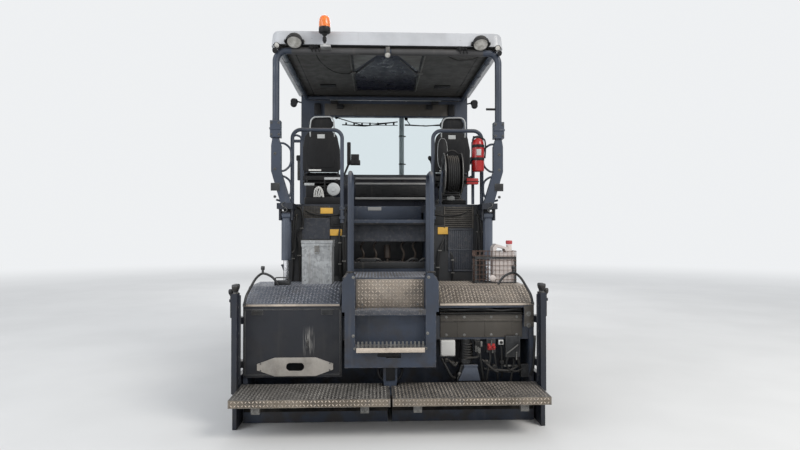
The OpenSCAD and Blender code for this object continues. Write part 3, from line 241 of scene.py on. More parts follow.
def painted(name, rgb, rough=0.42, grime=1.0, wear=1.0, film=1.0, scuff=None):
    """Machine paint: uneven gloss, dust on top, a brown film low down, runs and rubbed edges.

    scuff is the middle (x, z) and half size (x, z) of a patch of upright scratches on the rest pose.
    """
    f, c, s = Finish(name), colours(), sizes()
    patches = f.ramp(f.noise(1.7), 0.3, 0.7)
    base = f.blend(patches, shade(rgb, 0.8), shade(rgb, 1.22))
    runs = f.times(f.ramp(f.noise(1.0, 3, (16, 16, 1.1)), 0.56, 0.8), 0.1 * grime)
    base = f.blend(runs, base, c.dust)
    low = f.times(f.height(0.25, 1.5), f.ramp(f.noise(5.5, 5), 0.42, 0.66))
    base = f.blend(f.times(low, 0.75 * film), base, c.bitumen)
    dust = f.times(f.times(f.facing_up(), f.ramp(f.noise(9, 6), 0.25, 0.75, 0.35, 1.0)), s.grime * grime)
    base = f.blend(dust, base, c.dust)
    chips = f.times(f.edges(0.012), f.ramp(f.noise(26, 4), 0.5, 0.64))
    chips = f.times(chips, s.wear * wear)
    base = f.blend(chips, base, (0.21, 0.19, 0.17))
    spots = f.ramp(f.noise(48, 2), 0.7, 0.76)
    base = f.blend(f.times(spots, 0.45 * grime), base, shade(c.bitumen, 0.8))
    if scuff:
        base = f.blend(f.scuffed(*scuff), base, (0.34, 0.33, 0.31))
    gloss = f.ramp(f.noise(7, 5), 0.3, 0.7, rough - 0.08, rough + 0.18)
    f.surface(base, gloss)
    f.bump(f.noise(70, 4), 0.12, 0.0012, s.edge)
    return f.material


def chequer(name, rgb, grime=1.0):
    """Worn alloy tread: bright where boots rub, dark film in the lows."""
    f, c = Finish(name), colours()
    patches = f.ramp(f.noise(3.2, 5), 0.32, 0.68)
    base = f.blend(patches, shade(rgb, 0.62), shade(rgb, 1.12))
    film = f.ramp(f.noise(11, 6), 0.5, 0.68)
    base = f.blend(f.times(film, 0.7 * grime), base, c.bitumen)
    rubbed = f.times(f.edges(0.006), f.ramp(f.noise(30), 0.35, 0.6))
    base = f.blend(f.times(rubbed, 0.7), base, (0.5, 0.47, 0.43))
    scratches = f.ramp(f.noise(1.0, 2, (180, 14, 40)), 0.6, 0.68)
    base = f.blend(f.times(scratches, 0.3), base, (0.55, 0.52, 0.48))
    f.surface(base, f.ramp(f.noise(14), 0.3, 0.7, 0.38, 0.72), f.ramp(f.noise(11, 6), 0.48, 0.66, 0.75, 0.05))
    f.bump(f.noise(55, 5), 0.25, 0.0015, 0.002)
    return f.material


def galvanised(name, rgb):
    """Zinc coated sheet: spangled, with long scratches and thin grey stains."""
    f, c = Finish(name), colours()
    cells = f.add("TexVoronoi", {"Scale": 42, "Vector": f.place})
    base = f.blend(f.ramp(f.split(cells.outputs["Color"])["X"], 0.1, 0.9), shade(rgb, 0.8), shade(rgb, 1.16))
    base = f.blend(f.times(f.ramp(f.noise(5, 6), 0.44, 0.66), 0.55), base, shade(rgb, 0.58))
    runs = f.ramp(f.noise(1.0, 4, (26, 26, 2.2)), 0.55, 0.74)
    base = f.blend(f.times(runs, 0.45), base, shade(c.dust, 0.7))
    scratches = f.ramp(f.noise(1.0, 2, (210, 210, 9)), 0.62, 0.67)
    base = f.blend(f.times(scratches, 0.5), base, shade(rgb, 1.6))
    dust = f.times(f.facing_up(), 0.35)
    base = f.blend(dust, base, c.dust)
    f.surface(base, f.ramp(f.noise(24), 0.3, 0.7, 0.36, 0.58), 0.35)
    f.bump(f.noise(60, 3), 0.1, 0.0008, 0.002)
    return f.material


def lug_metal(name, rgb, worn=0.6):
    """The raised lugs of chequer plate, rubbed bright in patches."""
    f, c = Finish(name), colours()
    rubbed = f.ramp(f.noise(2.6, 4), 0.38, 0.62)
    base = f.blend(rubbed, shade(rgb, 0.75), shade(rgb, 1.25))
    base = f.blend(f.times(f.ramp(f.noise(16, 4), 0.55, 0.7), 1 - worn), base, c.bitumen)
    f.surface(base, f.ramp(f.noise(60), 0.3, 0.7, 0.3, 0.5), 0.55)
    f.bump(f.noise(240, 2), 0.2, 0.0004)
    return f.material


def bare_metal(name, rgb, rough=0.35, dirt=0.5, polished=(0.62, 0.62, 0.62)):
    """Steel or iron without paint: oily patches, worn high spots."""
    f, c = Finish(name), colours()
    base = f.blend(f.ramp(f.noise(9, 6), 0.35, 0.65), shade(rgb, 0.7), shade(rgb, 1.25))
    base = f.blend(f.times(f.ramp(f.noise(4, 5), 0.48, 0.68), dirt), base, c.bitumen)
    base = f.blend(f.times(f.edges(0.008), 0.6), base, polished)
    f.surface(
        base, f.ramp(f.noise(20, 4), 0.3, 0.7, rough, rough + 0.25), f.ramp(f.noise(4, 5), 0.46, 0.7, 0.9, 0.35),
    )
    f.bump(f.noise(90, 4), 0.15, 0.0008, 0.002)
    return f.material


def moulded(name, rgb, rough=0.5, grain=160, grime=0.4, depth=0.0006, glance=0.3):
    """Moulded plastic, rubber or gel coat with a fine grain."""
    f, c = Finish(name), colours()
    base = f.blend(f.ramp(f.noise(2.4, 4), 0.3, 0.7), shade(rgb, 0.86), shade(rgb, 1.1))
    dust = f.times(f.facing_up(), f.ramp(f.noise(10, 6), 0.3, 0.7, 0.2, 1.0))
    base = f.blend(f.times(dust, grime), base, c.dust)
    streaks = f.ramp(f.noise(1.0, 3, (20, 20, 1.4)), 0.54, 0.72)
    base = f.blend(f.times(streaks, 0.3 * grime), base, shade(c.dust, 0.6))
    f.surface(base, f.ramp(f.noise(12), 0.3, 0.7, rough - 0.06, rough + 0.14), Specular_IOR_Level=glance)
    f.bump(f.noise(grain, 3), 0.3, depth, 0.003)
    return f.material


def glass(name):
    """Clear tempered glass with a faint film of dust."""
    f = Finish(name)
    f.surface((0.8, 0.88, 0.9), f.ramp(f.noise(6, 5), 0.4, 0.8, 0.02, 0.12), Transmission_Weight=1.0, IOR=1.08)
    f.bump(f.noise(2.0, 2), 0.02, 0.001)
    return f.material


def tinted_lens(name, rgb):
    """A coloured lens over a lamp."""
    f = Finish(name)
    base = f.blend(f.ramp(f.noise(40, 3), 0.3, 0.7), shade(rgb, 0.85), shade(rgb, 1.15))
    f.surface(base, 0.18, Coat_Weight=0.6, Subsurface_Weight=0.25, Subsurface_Scale=0.02)
    f.bump(f.waves("Z", 55), 0.2, 0.002)
    return f.material


def lens_glass(name):
    """Pressed lamp glass: fine flutes over a bright reflector."""
    f = Finish(name)
    base = f.blend(f.ramp(f.noise(30, 3), 0.3, 0.7), (0.42, 0.4, 0.36), (0.66, 0.64, 0.6))
    f.surface(base, 0.16, Coat_Weight=0.8)
    f.bump(f.waves("X", 42, 0.6), 0.35, 0.002)
    return f.material


def vinyl(name, rgb):
    """Seat vinyl: pebbled grain, folds and a dull film on what is sat on."""
    f, c = Finish(name), colours()
    grain = f.add("TexVoronoi", {"Scale": 420, "Vector": f.place}, feature="DISTANCE_TO_EDGE")
    base = f.blend(f.ramp(f.noise(5, 5), 0.3, 0.7), shade(rgb, 0.75), shade(rgb, 1.5))
    base = f.blend(f.times(f.facing_up(), f.ramp(f.noise(8, 5), 0.3, 0.7, 0.05, 0.25)), base, c.dust)
    f.surface(base, f.ramp(f.noise(9), 0.3, 0.7, 0.46, 0.66), Specular_IOR_Level=0.16)
    f.bump(f.ramp(grain.outputs["Distance"], 0.0, 0.25), 0.35, 0.0008)
    return f.material


def finishes():
    """Mixes every finish of the machine."""
    c = colours()
    painted("frame_paint", c.frame_paint)
    painted("panel_paint", c.panel_paint, 0.38, 0.55, 0.5, 0.5)
    painted("cover_paint", c.cover_paint, 0.4, 0.35, 0.4, 0.4, (-0.706, 0.705, 0.06, 0.15))
    painted("lift_cylinder_paint", c.lift_paint, 0.34, 0.5, 0.6, 0.3)
    painted("engine_paint", (0.16, 0.165, 0.17), 0.5, 1.0, 0.8, 0.8)
    galvanised("toolbox_zinc", (0.36, 0.37, 0.375))
    painted("extinguisher_paint", (0.4, 0.014, 0.014), 0.28, 0.3, 0.4, 0.0)
    painted("blank_label", (0.5, 0.51, 0.5), 0.4, 0.3, 0.2, 0.0)
    painted("yellow_plate", (0.66, 0.38, 0.06), 0.4, 0.4, 0.3, 0.0)
    painted("desk_paint", (0.01, 0.012, 0.02), 0.34, 0.25, 0.5, 0.2)
    painted("housing_paint", (0.017, 0.018, 0.02), 0.5, 1.3, 0.6, 1.4)
    painted("beam_paint", (0.062, 0.054, 0.044), 0.5, 0.7, 0.5, 0.5)
    painted("lining_grey", (0.075, 0.072, 0.066), 0.5, 0.3, 0.3, 0.1)
    # Darker grey of the hoop's top bar: dust, and painted shade
    painted("hoop_dust_and_shade", (0.05, 0.049, 0.05), 0.5, 0.8, 0.4, 0.2)
    painted("niche_pipe_paint", (0.045, 0.032, 0.024), 0.55, 0.8, 0.3, 0.5)
    painted("cabinet_paint", (0.04, 0.045, 0.058), 0.45, 0.8, 0.5, 0.9)
    painted("desk_rail", (0.27, 0.27, 0.265), 0.36, 0.5, 0.5, 0.2)
    painted("wire_rust", (0.1, 0.052, 0.036), 0.6, 0.6, 0.4, 0.3)
    painted("cap_red", (0.42, 0.055, 0.06), 0.4, 0.3, 0.0, 0.0)
    moulded("dark_glass", (0.004, 0.0045, 0.016), 0.3, 30, 0.02, 0.0002, 0.12)
    chequer("board_chequer", shade(c.worn_alloy, 0.8))
    chequer("riser_chequer", shade(c.worn_alloy, 0.8), 0.7)
    chequer("tread_chequer", (0.085, 0.088, 0.1), 1.1)
    chequer("walkway_chequer_left", (0.115, 0.125, 0.15), 0.5)
    chequer("walkway_chequer_right", shade(c.worn_alloy, 0.62), 0.9)
    lug_metal("worn_lugs", shade(c.worn_alloy, 1.5), 0.8)
    lug_metal("riser_lugs", shade(c.worn_alloy, 1.45), 0.85)
    lug_metal("grey_lugs", (0.2, 0.21, 0.24), 0.6)
    lug_metal("walkway_lugs_left", (0.25, 0.26, 0.29), 0.6)
    lug_metal("walkway_lugs_right", shade(c.worn_alloy, 1.35), 0.8)
    # The right board's lugs are paler than the left's: painted sunlight on the right board
    lug_metal("board_lugs_sun_and_shade_left", (0.25, 0.235, 0.215), 0.6)
    lug_metal("board_lugs_sun_and_shade_right", (0.33, 0.29, 0.245), 0.7)
    chequer("board_top", (0.13, 0.122, 0.114), 1.0)
    chequer("board_face", (0.23, 0.195, 0.155), 0.9)
    # Near black steel of the plate under the boards; it also paints the shade there
    bare_metal("shoe_steel_and_shade", (0.022, 0.021, 0.02), 0.5, 0.8, (0.08, 0.075, 0.07))
    chequer("grip_alloy", (0.44, 0.41, 0.37), 0.3)
    bare_metal("dark_steel", (0.055, 0.056, 0.058), 0.42, 0.7, (0.2, 0.2, 0.2))
    bare_metal("mix_worn_steel", (0.2, 0.18, 0.155), 0.36, 0.85)
    bare_metal("hard_chrome", (0.72, 0.72, 0.74), 0.08, 0.06)
    bare_metal("bright_steel", (0.42, 0.42, 0.41), 0.3, 0.35)
    bare_metal("dull_steel", (0.17, 0.165, 0.155), 0.45, 0.6, (0.3, 0.3, 0.29))
    painted("exhaust_steel", (0.4, 0.41, 0.41), 0.4, 0.4, 0.4, 0.0)
    moulded("track_rubber", (0.026, 0.024, 0.022), 0.78, 60, 0.8, 0.002)
    moulded("hose_rubber", (0.014, 0.014, 0.014), 0.5, 400, 0.3, 0.0006)
    moulded("roof_gel_coat", c.roof_shell, 0.34, 40, 0.25, 0.0003, 0.5)
    moulded("roof_lining_mould", c.roof_lining, 0.62, 240, 0.15, 0.0012)
    moulded("black_mould", (0.008, 0.008, 0.009), 0.5, 200, 0.2)
    moulded("pale_plastic", (0.66, 0.655, 0.63), 0.4, 120, 0.2)
    moulded("can_polythene", (0.62, 0.56, 0.53), 0.45, 80, 0.15)
    tinted_lens("beacon_lens", (0.85, 0.19, 0.012))
    lens_glass("lamp_lens")
    vinyl("seat_vinyl", (0.0055, 0.006, 0.0085))
    glass("window_glass")


CAD_FINISHES = {
    "frame_paint": (
        "chassis chassis_fittings track_frames rear_body engine_bay guard_hoops roof_frame auger_carrier push_beam"
        " hopper_wing_left hopper_wing_right hopper_apron engine_hood side_door_left side_door_right tow_arms"
        " lift_brackets basic_screed stair_unit handrails extension_left extension_right"
        " wing_barrel_left wing_barrel_right"
    ),
    "panel_paint": "platform end_gate_left end_gate_right",
    "housing_paint": "cabinets",
    "desk_paint": "control_desk",
    "cover_paint": "left_cover",
    "lift_cylinder_paint": "lift_barrels",
    "engine_paint": "engine",
    "toolbox_zinc": "toolbox toolbox_lid",
    "extinguisher_paint": "extinguisher",
    "board_chequer": "footboard_left footboard_right",
    "grip_alloy": "grip_plate",
    "dark_steel": "track_wheels push_roller_left push_roller_right can_basket bay_gear",
    "mix_worn_steel": "conveyor_chains auger_left auger_right",
    "hard_chrome": "lift_rods wing_rod_left wing_rod_right",
    "exhaust_steel": "exhaust",
    "track_rubber": "left_track right_track",
    "roof_gel_coat": "roof_shell",
    "roof_lining_mould": "roof_lining",
    "black_mould": "work_lamps seats hose_reel",
    "can_polythene": "jerrycan",
    "beacon_lens": "beacon",
    "window_glass": "windshield",
}


# Shapes

BACK, AHEAD = (0, -1, 0), (0, 1, 0)
UP, DOWN = (0, 0, 1), (0, 0, -1)
SIDES = ((-1, "left"), (1, "right"))
STANDING = Matrix.Rotation(math.pi / 2, 4, "X")


def along(axis):
    """A turn that carries +Z on to an axis."""
    return Vector(axis).to_track_quat("Z", "Y").to_matrix().to_4x4()


def at(place, axis=None):
    """A matrix that moves to a place, after a turn of +Z on to an axis."""
    matrix = Matrix.Translation(place)
    return matrix @ along(axis) if axis else matrix


def between(a, b):
    """The range that two values span, in either order."""
    return min(a, b), max(a, b)


def about(middle, half):
    """The range that reaches as far to both sides of its middle."""
    return middle - half, middle + half


def bent(points, radius, steps=5):
    """A path with its corners rounded."""
    path = [Vector(p) for p in points]
    out = [path[0]]
    for before, corner, after in zip(path, path[1:], path[2:]):
        a, b = (before - corner), (after - corner)
        reach = min(radius, a.length * 0.49, b.length * 0.49)
        start, end = corner + a.normalized() * reach, corner + b.normalized() * reach
        for i in range(steps + 1):
            t = i / steps
            out.append(start * (1 - t) ** 2 + corner * (2 * t * (1 - t)) + end * t ** 2)
    out.append(path[-1])
    return out


def squared_oval(middle, half, power, count):
    """Points round an oval in a plane whose corners fill out as the powers fall."""
    out = []
    for i in range(count):
        a = 2 * math.pi * i / count
        out.append(tuple(
            m + h * math.copysign(abs(c) ** p, c)
            for m, h, p, c in zip(middle, half, power, (math.cos(a), math.sin(a)))
        ))
    return out


def smooth_path(points, count=25):
    """An even run of points on a soft curve through the given ones."""
    knots = [Vector(p) for p in points]
    knots = [knots[0] * 2 - knots[1], *knots, knots[-1] * 2 - knots[-2]]
    fine = []
    for p0, p1, p2, p3 in zip(knots, knots[1:], knots[2:], knots[3:]):
        for i in range(24):
            t = i / 24
            fine.append(0.5 * (p1 * 2 + (p2 - p0) * t + (p0 * 2 - p1 * 5 + p2 * 4 - p3) * t ** 2
                               + (p1 * 3 - p0 - p2 * 3 + p3) * t ** 3))
    fine.append(knots[-2])
    lengths = [0.0]
    for a, b in zip(fine, fine[1:]):
        lengths.append(lengths[-1] + (b - a).length)
    out, k = [], 0
    for i in range(count):
        want = lengths[-1] * i / (count - 1)
        while k < len(lengths) - 2 and lengths[k + 1] < want:
            k += 1
        share = (want - lengths[k]) / max(1e-9, lengths[k + 1] - lengths[k])
        out.append(fine[k].lerp(fine[k + 1], share))
    return out


class Shape:
    """Closed bodies under construction, in metres in the machine's own frame."""

    def __init__(self, body="tractor"):
        self.mesh = bmesh.new()
        self.body = body

    def put(self, corners, faces, place=None):
        """Adds faces over new corners."""
        made = [self.mesh.verts.new(place @ Vector(c) if place else Vector(c)) for c in corners]
        for face in faces:
            self.mesh.faces.new([made[i] for i in face])

    def rounded(self, corners, faces, bevel, place=None, segments=2):
        """Adds a body with its edges rounded."""
        part = bmesh.new()
        made = [part.verts.new(Vector(c)) for c in corners]
        for face in faces:
            part.faces.new([made[i] for i in face])
        bmesh.ops.recalc_face_normals(part, faces=part.faces)
        if bevel:
            bmesh.ops.bevel(part, geom=part.edges, offset=bevel, segments=segments, affect="EDGES", profile=0.6)
        if place:
            part.transform(place)
        held = bpy.data.meshes.new("held")
        part.to_mesh(held)
        part.free()
        self.mesh.from_mesh(held)
        bpy.data.meshes.remove(held)

    def block(self, x, y, z, bevel=0.0, segments=2):
        """A box between ranges."""
        corners = [(a, b, c) for c in z for b in y for a in x]
        faces = [(0, 2, 3, 1), (4, 5, 7, 6), (0, 1, 5, 4), (2, 6, 7, 3), (0, 4, 6, 2), (1, 3, 7, 5)]
        self.rounded(corners, faces, bevel, segments=segments)

    def plate(self, outline, z, bevel=0.0, place=None):
        """A flat outline carried from one height to another."""
        n = len(outline)
        corners = [(x, y, h) for h in z for x, y in outline]
        faces = [tuple(reversed(range(n))), tuple(range(n, 2 * n))]
        faces += [(i, (i + 1) % n, (i + 1) % n + n, i + n) for i in range(n)]
        self.rounded(corners, faces, bevel, place)

    def turned(self, profile, place=None, sides=24, start=0.0):
        """A profile of (radius, height) turned about Z, its ends on the axis or capped."""
        rings, corners, faces = [], [], []
        for radius, height in profile:
            if radius < 1e-6:
                rings.append([len(corners)])
                corners.append((0, 0, height))
            else:
                rings.append(list(range(len(corners), len(corners) + sides)))
                corners += [(
                    radius * math.cos(start + 2 * math.pi * i / sides),
                    radius * math.sin(start + 2 * math.pi * i / sides), height,
                ) for i in range(sides)]
        for low, high in zip(rings, rings[1:]):
            for i in range(sides):
                j = (i + 1) % sides
                if len(low) == 1:
                    faces.append((low[0], high[j], high[i]))
                elif len(high) == 1:
                    faces.append((low[i], low[j], high[0]))
                else:
                    faces.append((low[i], low[j], high[j], high[i]))
        for ring, end in ((rings[0], -1), (rings[-1], 1)):
            if len(ring) > 1:
                faces.append(tuple(ring if end > 0 else reversed(ring)))
        self.put(corners, faces, place)

    def ring(self, radius, thick, place=None, sides=32, around=10):
        """A torus about Z."""
        corners, faces = [], []
        for i in range(sides):
            a = 2 * math.pi * i / sides
            for k in range(around):
                b = 2 * math.pi * k / around
                reach = radius + thick * math.cos(b)
                corners.append((reach * math.cos(a), reach * math.sin(a), thick * math.sin(b)))
        for i in range(sides):
            for k in range(around):
                j, m = (i + 1) % sides, (k + 1) % around
                faces.append((i * around + k, j * around + k, j * around + m, i * around + m))
        self.put(corners, faces, place)

    def rod(self, a, b, radius, sides=16):
        """A round bar between two points, with a small chamfer at both ends."""
        a, b = Vector(a), Vector(b)
        length = (b - a).length
        cut = min(0.15 * radius, 0.2 * length)
        self.turned([
            (radius - cut, 0), (radius, cut), (radius, length - cut), (radius - cut, length),
        ], at(a, b - a), sides)

    def tube(self, points, radius, sides=10, closed=False):
        """A round section carried along a path."""
        path = [Vector(p) for p in points]
        n = len(path)
        heading = []
        for i in range(n):
            if closed:
                heading.append((path[(i + 1) % n] - path[i - 1]).normalized())
            else:
                heading.append((path[min(i + 1, n - 1)] - path[max(i - 1, 0)]).normalized())
        side = heading[0].orthogonal().normalized()
        corners, faces = [], []
        for i in range(n):
            side = (side - heading[i] * side.dot(heading[i])).normalized()
            up = heading[i].cross(side)
            for k in range(sides):
                b = 2 * math.pi * k / sides
                corners.append(path[i] + (side * math.cos(b) + up * math.sin(b)) * radius)
        for i in range(n if closed else n - 1):
            j = (i + 1) % n
            for k in range(sides):
                m = (k + 1) % sides
                faces.append((i * sides + k, i * sides + m, j * sides + m, j * sides + k))
        if not closed:
            faces.append(tuple(reversed(range(sides))))
            faces.append(tuple(range((n - 1) * sides, n * sides)))
        self.put(corners, faces)

    def curve(self, points, radius, sides=10, count=25):
        """A round section on a soft curve through the points."""
        self.tube(smooth_path(points, count), radius, sides)

    def pipe(self, points, corner, radius, sides=10):
        """A round section along straight runs with rounded corners."""
        self.tube(bent(points, corner), radius, sides)

    def bolt(self, place, axis, size=0.011):
        """A hexagon head on its washer."""
        matrix = at(place, axis)
        self.turned([(size * 1.5, -0.001), (size * 1.5, 0.002), (0, 0.002)], matrix, 14)
        self.turned([(size, 0.0), (size, size * 0.6), (size * 0.8, size * 0.75), (0, size * 0.75)], matrix, 6)

    def lugs(self, corner, across, upward, columns, rows, keep=None, size=(0.033, 0.0105, 0.002)):
        """Raised lozenges of chequer plate, turned one way and the other by turns."""
        corner, across, upward = Vector(corner), Vector(across), Vector(upward)
        out = across.cross(upward).normalized()
        u, v = across.normalized(), upward.normalized()
        for i in range(columns):
            for j in range(rows):
                middle = corner + across * ((i + 0.5) / columns) + upward * ((j + 0.5) / rows)
                if keep and not keep(middle):
                    continue
                turn = math.pi / 4 if (i + j) % 2 else -math.pi / 4
                a = u * math.cos(turn) + v * math.sin(turn)
                b = out.cross(a)
                lift = out * size[2]
                foot = [
                    middle + a * (size[0] / 2), middle + b * (size[1] / 2), middle - a * (size[0] / 2),
                    middle - b * (size[1] / 2),
                ]
                low = [p - out * 0.0006 for p in foot]
                high = [middle + (p - middle) * 0.55 + lift for p in foot]
                self.put(low + high, [
                    (3, 2, 1, 0), (4, 5, 6, 7), (0, 1, 5, 4), (1, 2, 6, 5), (2, 3, 7, 6), (3, 0, 4, 7),
                ])

    def piece(self, name, finish, slot, smooth=40):
        """Links the shape as a piece with its finish, and lets it ride on its body."""
        bmesh.ops.recalc_face_normals(self.mesh, faces=self.mesh.faces)
        mesh = bpy.data.meshes.new(name)
        self.mesh.to_mesh(mesh)
        self.mesh.free()
        mesh.shade_smooth()
        mesh.set_sharp_from_angle(angle=math.radians(smooth))
        mesh.materials.append(bpy.data.materials[finish])
        piece = linked(name, mesh)
        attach(piece, self.body)
        return piece


def shapes(count, body="tractor"):
    """Empty shapes that ride on the same body."""
    return [Shape(body) for _ in range(count)]


def linked(name, data):
    """A new object in the scene."""
    thing = bpy.data.objects.new(name, data)
    bpy.context.scene.collection.objects.link(thing)
    return thing


def hose(name, points, diameter, body, onto=None):
    """A free hose or cable that runs from one fitting to another, or onto a body that swings."""
    path = smooth_path(points, 25)
    curve = bpy.data.curves.new(name, "CURVE")
    curve.dimensions = "3D"
    curve.bevel_depth = diameter / 2
    curve.bevel_resolution = 3
    curve.use_fill_caps = True
    spline = curve.splines.new("POLY")
    spline.points.add(len(path) - 1)
    for point, place in zip(spline.points, path):
        point.co = (*place, 1)
    curve.materials.append(bpy.data.materials["hose_rubber"])
    cord = linked(name, curve)
    if onto:
        tube = bpy.data.meshes.new_from_object(cord.evaluated_get(bpy.context.evaluated_depsgraph_get()))
        bpy.data.objects.remove(cord)
        cord = linked(name, tube)
        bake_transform(cord)
    else:
        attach(cord, body)


def stuff(piece, cap):
    """Swells a closed form into a padded one by cloth simulation, and keeps it near its place."""
    scene = bpy.context.scene
    remesh = piece.modifiers.new("remesh", "REMESH")
    remesh.mode = "VOXEL"
    remesh.voxel_size = 0.006
    bake(piece)
    rest = [v.co.copy() for v in piece.data.vertices]
    cloth = piece.modifiers.new("cloth", "CLOTH").settings
    cloth.use_pressure = True
    cloth.uniform_pressure_force = 4
    cloth.effector_weights.gravity = 0
    cloth.quality = 5
    for number in range(1, 21):
        scene.frame_set(number)
    bake(piece)
    scene.frame_set(1)
    for v, start in zip(piece.data.vertices, rest):
        moved = v.co - start
        if moved.length > cap:
            v.co = start + moved * (cap / moved.length)
    piece.modifiers.new("finer", "SUBSURF").levels = 1
    bake(piece)
    piece.data.shade_smooth()


def bake(piece):
    """Applies what the modifiers have made of a piece."""
    shown = piece.evaluated_get(bpy.context.evaluated_depsgraph_get())
    mesh = bpy.data.meshes.new_from_object(shown)
    piece.modifiers.clear()
    old, piece.data = piece.data, mesh
    mesh.name = piece.name
    bpy.data.meshes.remove(old)


# Operators


IMAGE_W, IMAGE_H = 800, 450
FOCAL_PX = 578.0
HORIZON_PX = 232.0
EYE = (-0.125, -7.78, 1.66)
YAW = 2.4
BACKDROP = (0.86, 0.875, 0.89)


def make_camera():
    """The camera behind the screed, a little to the left of its middle."""
    data = bpy.data.cameras.new("camera")
    data.sensor_width = 36.0
    data.lens = FOCAL_PX / IMAGE_W * data.sensor_width
    data.clip_end = 500
    camera = linked("camera", data)
    camera.location = EYE
    pitch = math.atan((HORIZON_PX - IMAGE_H / 2) / FOCAL_PX)
    camera.rotation_euler = (math.pi / 2 + pitch, 0, -math.radians(YAW))
    bpy.context.scene.camera = camera


def area_light(name, place, aim, size, watts, tint=(1, 1, 1)):
    """A round soft light that the camera doesn't see."""
    data = bpy.data.lights.new(name, "AREA")
    data.shape = "DISK"
    data.size = size
    data.energy = watts
    data.color = tint
    lamp = linked(name, data)
    lamp.visible_camera = False
    lamp.visible_transmission = False
    lamp.location = place
    lamp.rotation_euler = (Vector(aim) - Vector(place)).to_track_quat("-Z", "Y").to_euler()


def make_floor():
    """The pale floor, which melts into the backdrop far off."""
    mesh = bpy.data.meshes.new("floor")
    reach = 120
    mesh.from_pydata([(-reach, -reach, 0), (reach, -reach, 0), (reach, reach, 0), (-reach, reach, 0)], [],
                     [(0, 1, 2, 3)])
    floor = linked("floor", mesh)
    f = Finish("studio_floor")
    f.surface(f.blend(f.ramp(f.noise(0.6, 3), 0.3, 0.7), (0.66, 0.66, 0.655), (0.7, 0.7, 0.695)), 0.9)
    # Far off it melts into the backdrop, for the camera, in glass and in metal
    away = f.add("VectorMath", {0: f.place}, operation="LENGTH").outputs["Value"]
    seen = f.seen()
    glow = f.add("Emission", {"Color": (*BACKDROP, 1)}).outputs["Emission"]
    mix = f.add("MixShader", {1: f.shader.outputs["BSDF"], 2: glow})
    f.join(f.times(f.ramp(away, 7.0, 26.0), seen), mix.inputs["Fac"])
    f.join(mix.outputs["Shader"], f.output.inputs["Surface"])
    mesh.materials.append(f.material)


def make_world():
    """Soft fill light, behind a plain backdrop for whatever looks at it."""
    world = bpy.data.worlds.new("studio")
    bpy.context.scene.world = world
    world.use_nodes = True
    n = Nodes(world.node_tree)
    output = n.add("OutputWorld")
    fill = n.add("Background", {"Color": (0.93, 0.96, 1.0, 1), "Strength": 0.72}).outputs["Background"]
    shown = n.add("Background", {"Color": (*BACKDROP, 1)}).outputs["Background"]
    mix = n.add("MixShader", {0: n.seen(), 1: fill, 2: shown})
    n.join(mix.outputs["Shader"], output.inputs["Surface"])


class PAVER_OT_stage(Operator):
    """Makes the camera, the pale floor and the soft studio light"""

    bl_idname = "paver.stage"
    bl_label = "Stage"

    def execute(self, context):
        context.scene.view_settings.view_transform = "Standard"
        make_camera()
        make_floor()
        make_world()
        area_light("key", (7.0, -9.0, 9.0), (0, -1, 1.2), 5.0, 800, (1.0, 0.97, 0.92))
        area_light("fill", (-8.0, -8.0, 5.0), (0, -1, 1.4), 7.0, 330, (0.93, 0.96, 1.0))
        area_light("back", (0.0, 10.0, 8.0), (0, 1, 1.5), 8.0, 450)
        return {"FINISHED"}


class PAVER_OT_finishes(Operator):
    """Mixes every finish and gives the CAD nodes theirs"""

    bl_idname = "paver.finishes"
    bl_label = "Finishes"

    def execute(self, context):
        finishes()
        for name, nodes in CAD_FINISHES.items():
            for node in nodes.split():
                slots = NODES[node].data.materials
                slots.clear()
                slots.append(bpy.data.materials[name])
        return {"FINISHED"}


ROOF_CABLES = [
    ("roof_cable_left", 0.012, [
        (-0.748, -1.8, 3.5), (-0.7, -1.62, 3.455), (-0.58, -1.32, 3.445), (-0.44, -1.06, 3.5), (-0.405, -0.98, 3.552),
    ]),
    ("roof_cable_right", 0.012, [
        (0.62, -1.8, 3.495), (0.72, -1.78, 3.462), (0.86, -1.79, 3.462), (0.975, -1.8, 3.498),
    ]),
]
REEL_END = [
    (0.612, -1.7, 2.452), (0.622, -1.712, 2.49), (0.655, -1.73, 2.512), (0.7, -1.735, 2.51), (0.735, -1.722, 2.482),
    (0.748, -1.706, 2.45),
]
# Each hose to the lift cylinder: its way down, the bend above the cylinder, and the end on the barrel's wall
LIFT_HOSES = [
    (0.955, -1.7, (0.966, -1.74, 1.48), (0.992, -1.766, 1.44)),
    (0.977, -1.725, (0.997, -1.74, 1.48), (1.015, -1.737, 1.4)),
]


class PAVER_OT_hoses(Operator):
    """Hangs the free hoses and cables between their fittings"""

    bl_idname = "paver.hoses"
    bl_label = "Hoses and cables"

    def execute(self, context):
        for name, thick, points in ROOF_CABLES:
            hose(name, points, thick, "tractor")
        hose("reel_hose_end", REEL_END, 0.021, "hose_reel")
        for s, side in SIDES:
            for k, (x, y, near, end) in enumerate(LIFT_HOSES):
                hose(f"lift_hose_{side}_{k + 1}", [
                    (s * x, -1.617, 1.84 - k * 0.03), (s * x, y, 1.83 - k * 0.03), (s * x, y - 0.035, 1.74),
                    (s * (x + 0.01), y - 0.03, 1.6), (s * near[0], *near[1:]), (s * end[0], *end[1:]),
                ], 0.02, "tractor", "lift_barrels")
        return {"FINISHED"}


LAMP_X, LAMP_Z, LAMP_FACE = 0.96, 3.612, -1.968
BEACON = (-0.64, -1.965)


def lamp(glass, metal, place, axis, radius):
    """A round lamp that looks along its axis."""
    turn = at(place, axis)
    metal.turned([
        (radius * 0.45, -radius * 0.8), (radius * 0.9, -radius * 0.35), (radius, 0), (radius, radius * 0.14),
        (radius * 0.9, radius * 0.14), (radius * 0.9, 0.002), (0, 0.002),
    ], turn, 28)
    glass.turned([
        (radius * 0.88, 0.0), (radius * 0.86, radius * 0.06), (radius * 0.6, radius * 0.14),
        (radius * 0.3, radius * 0.17), (0, radius * 0.18),
    ], turn, 28)


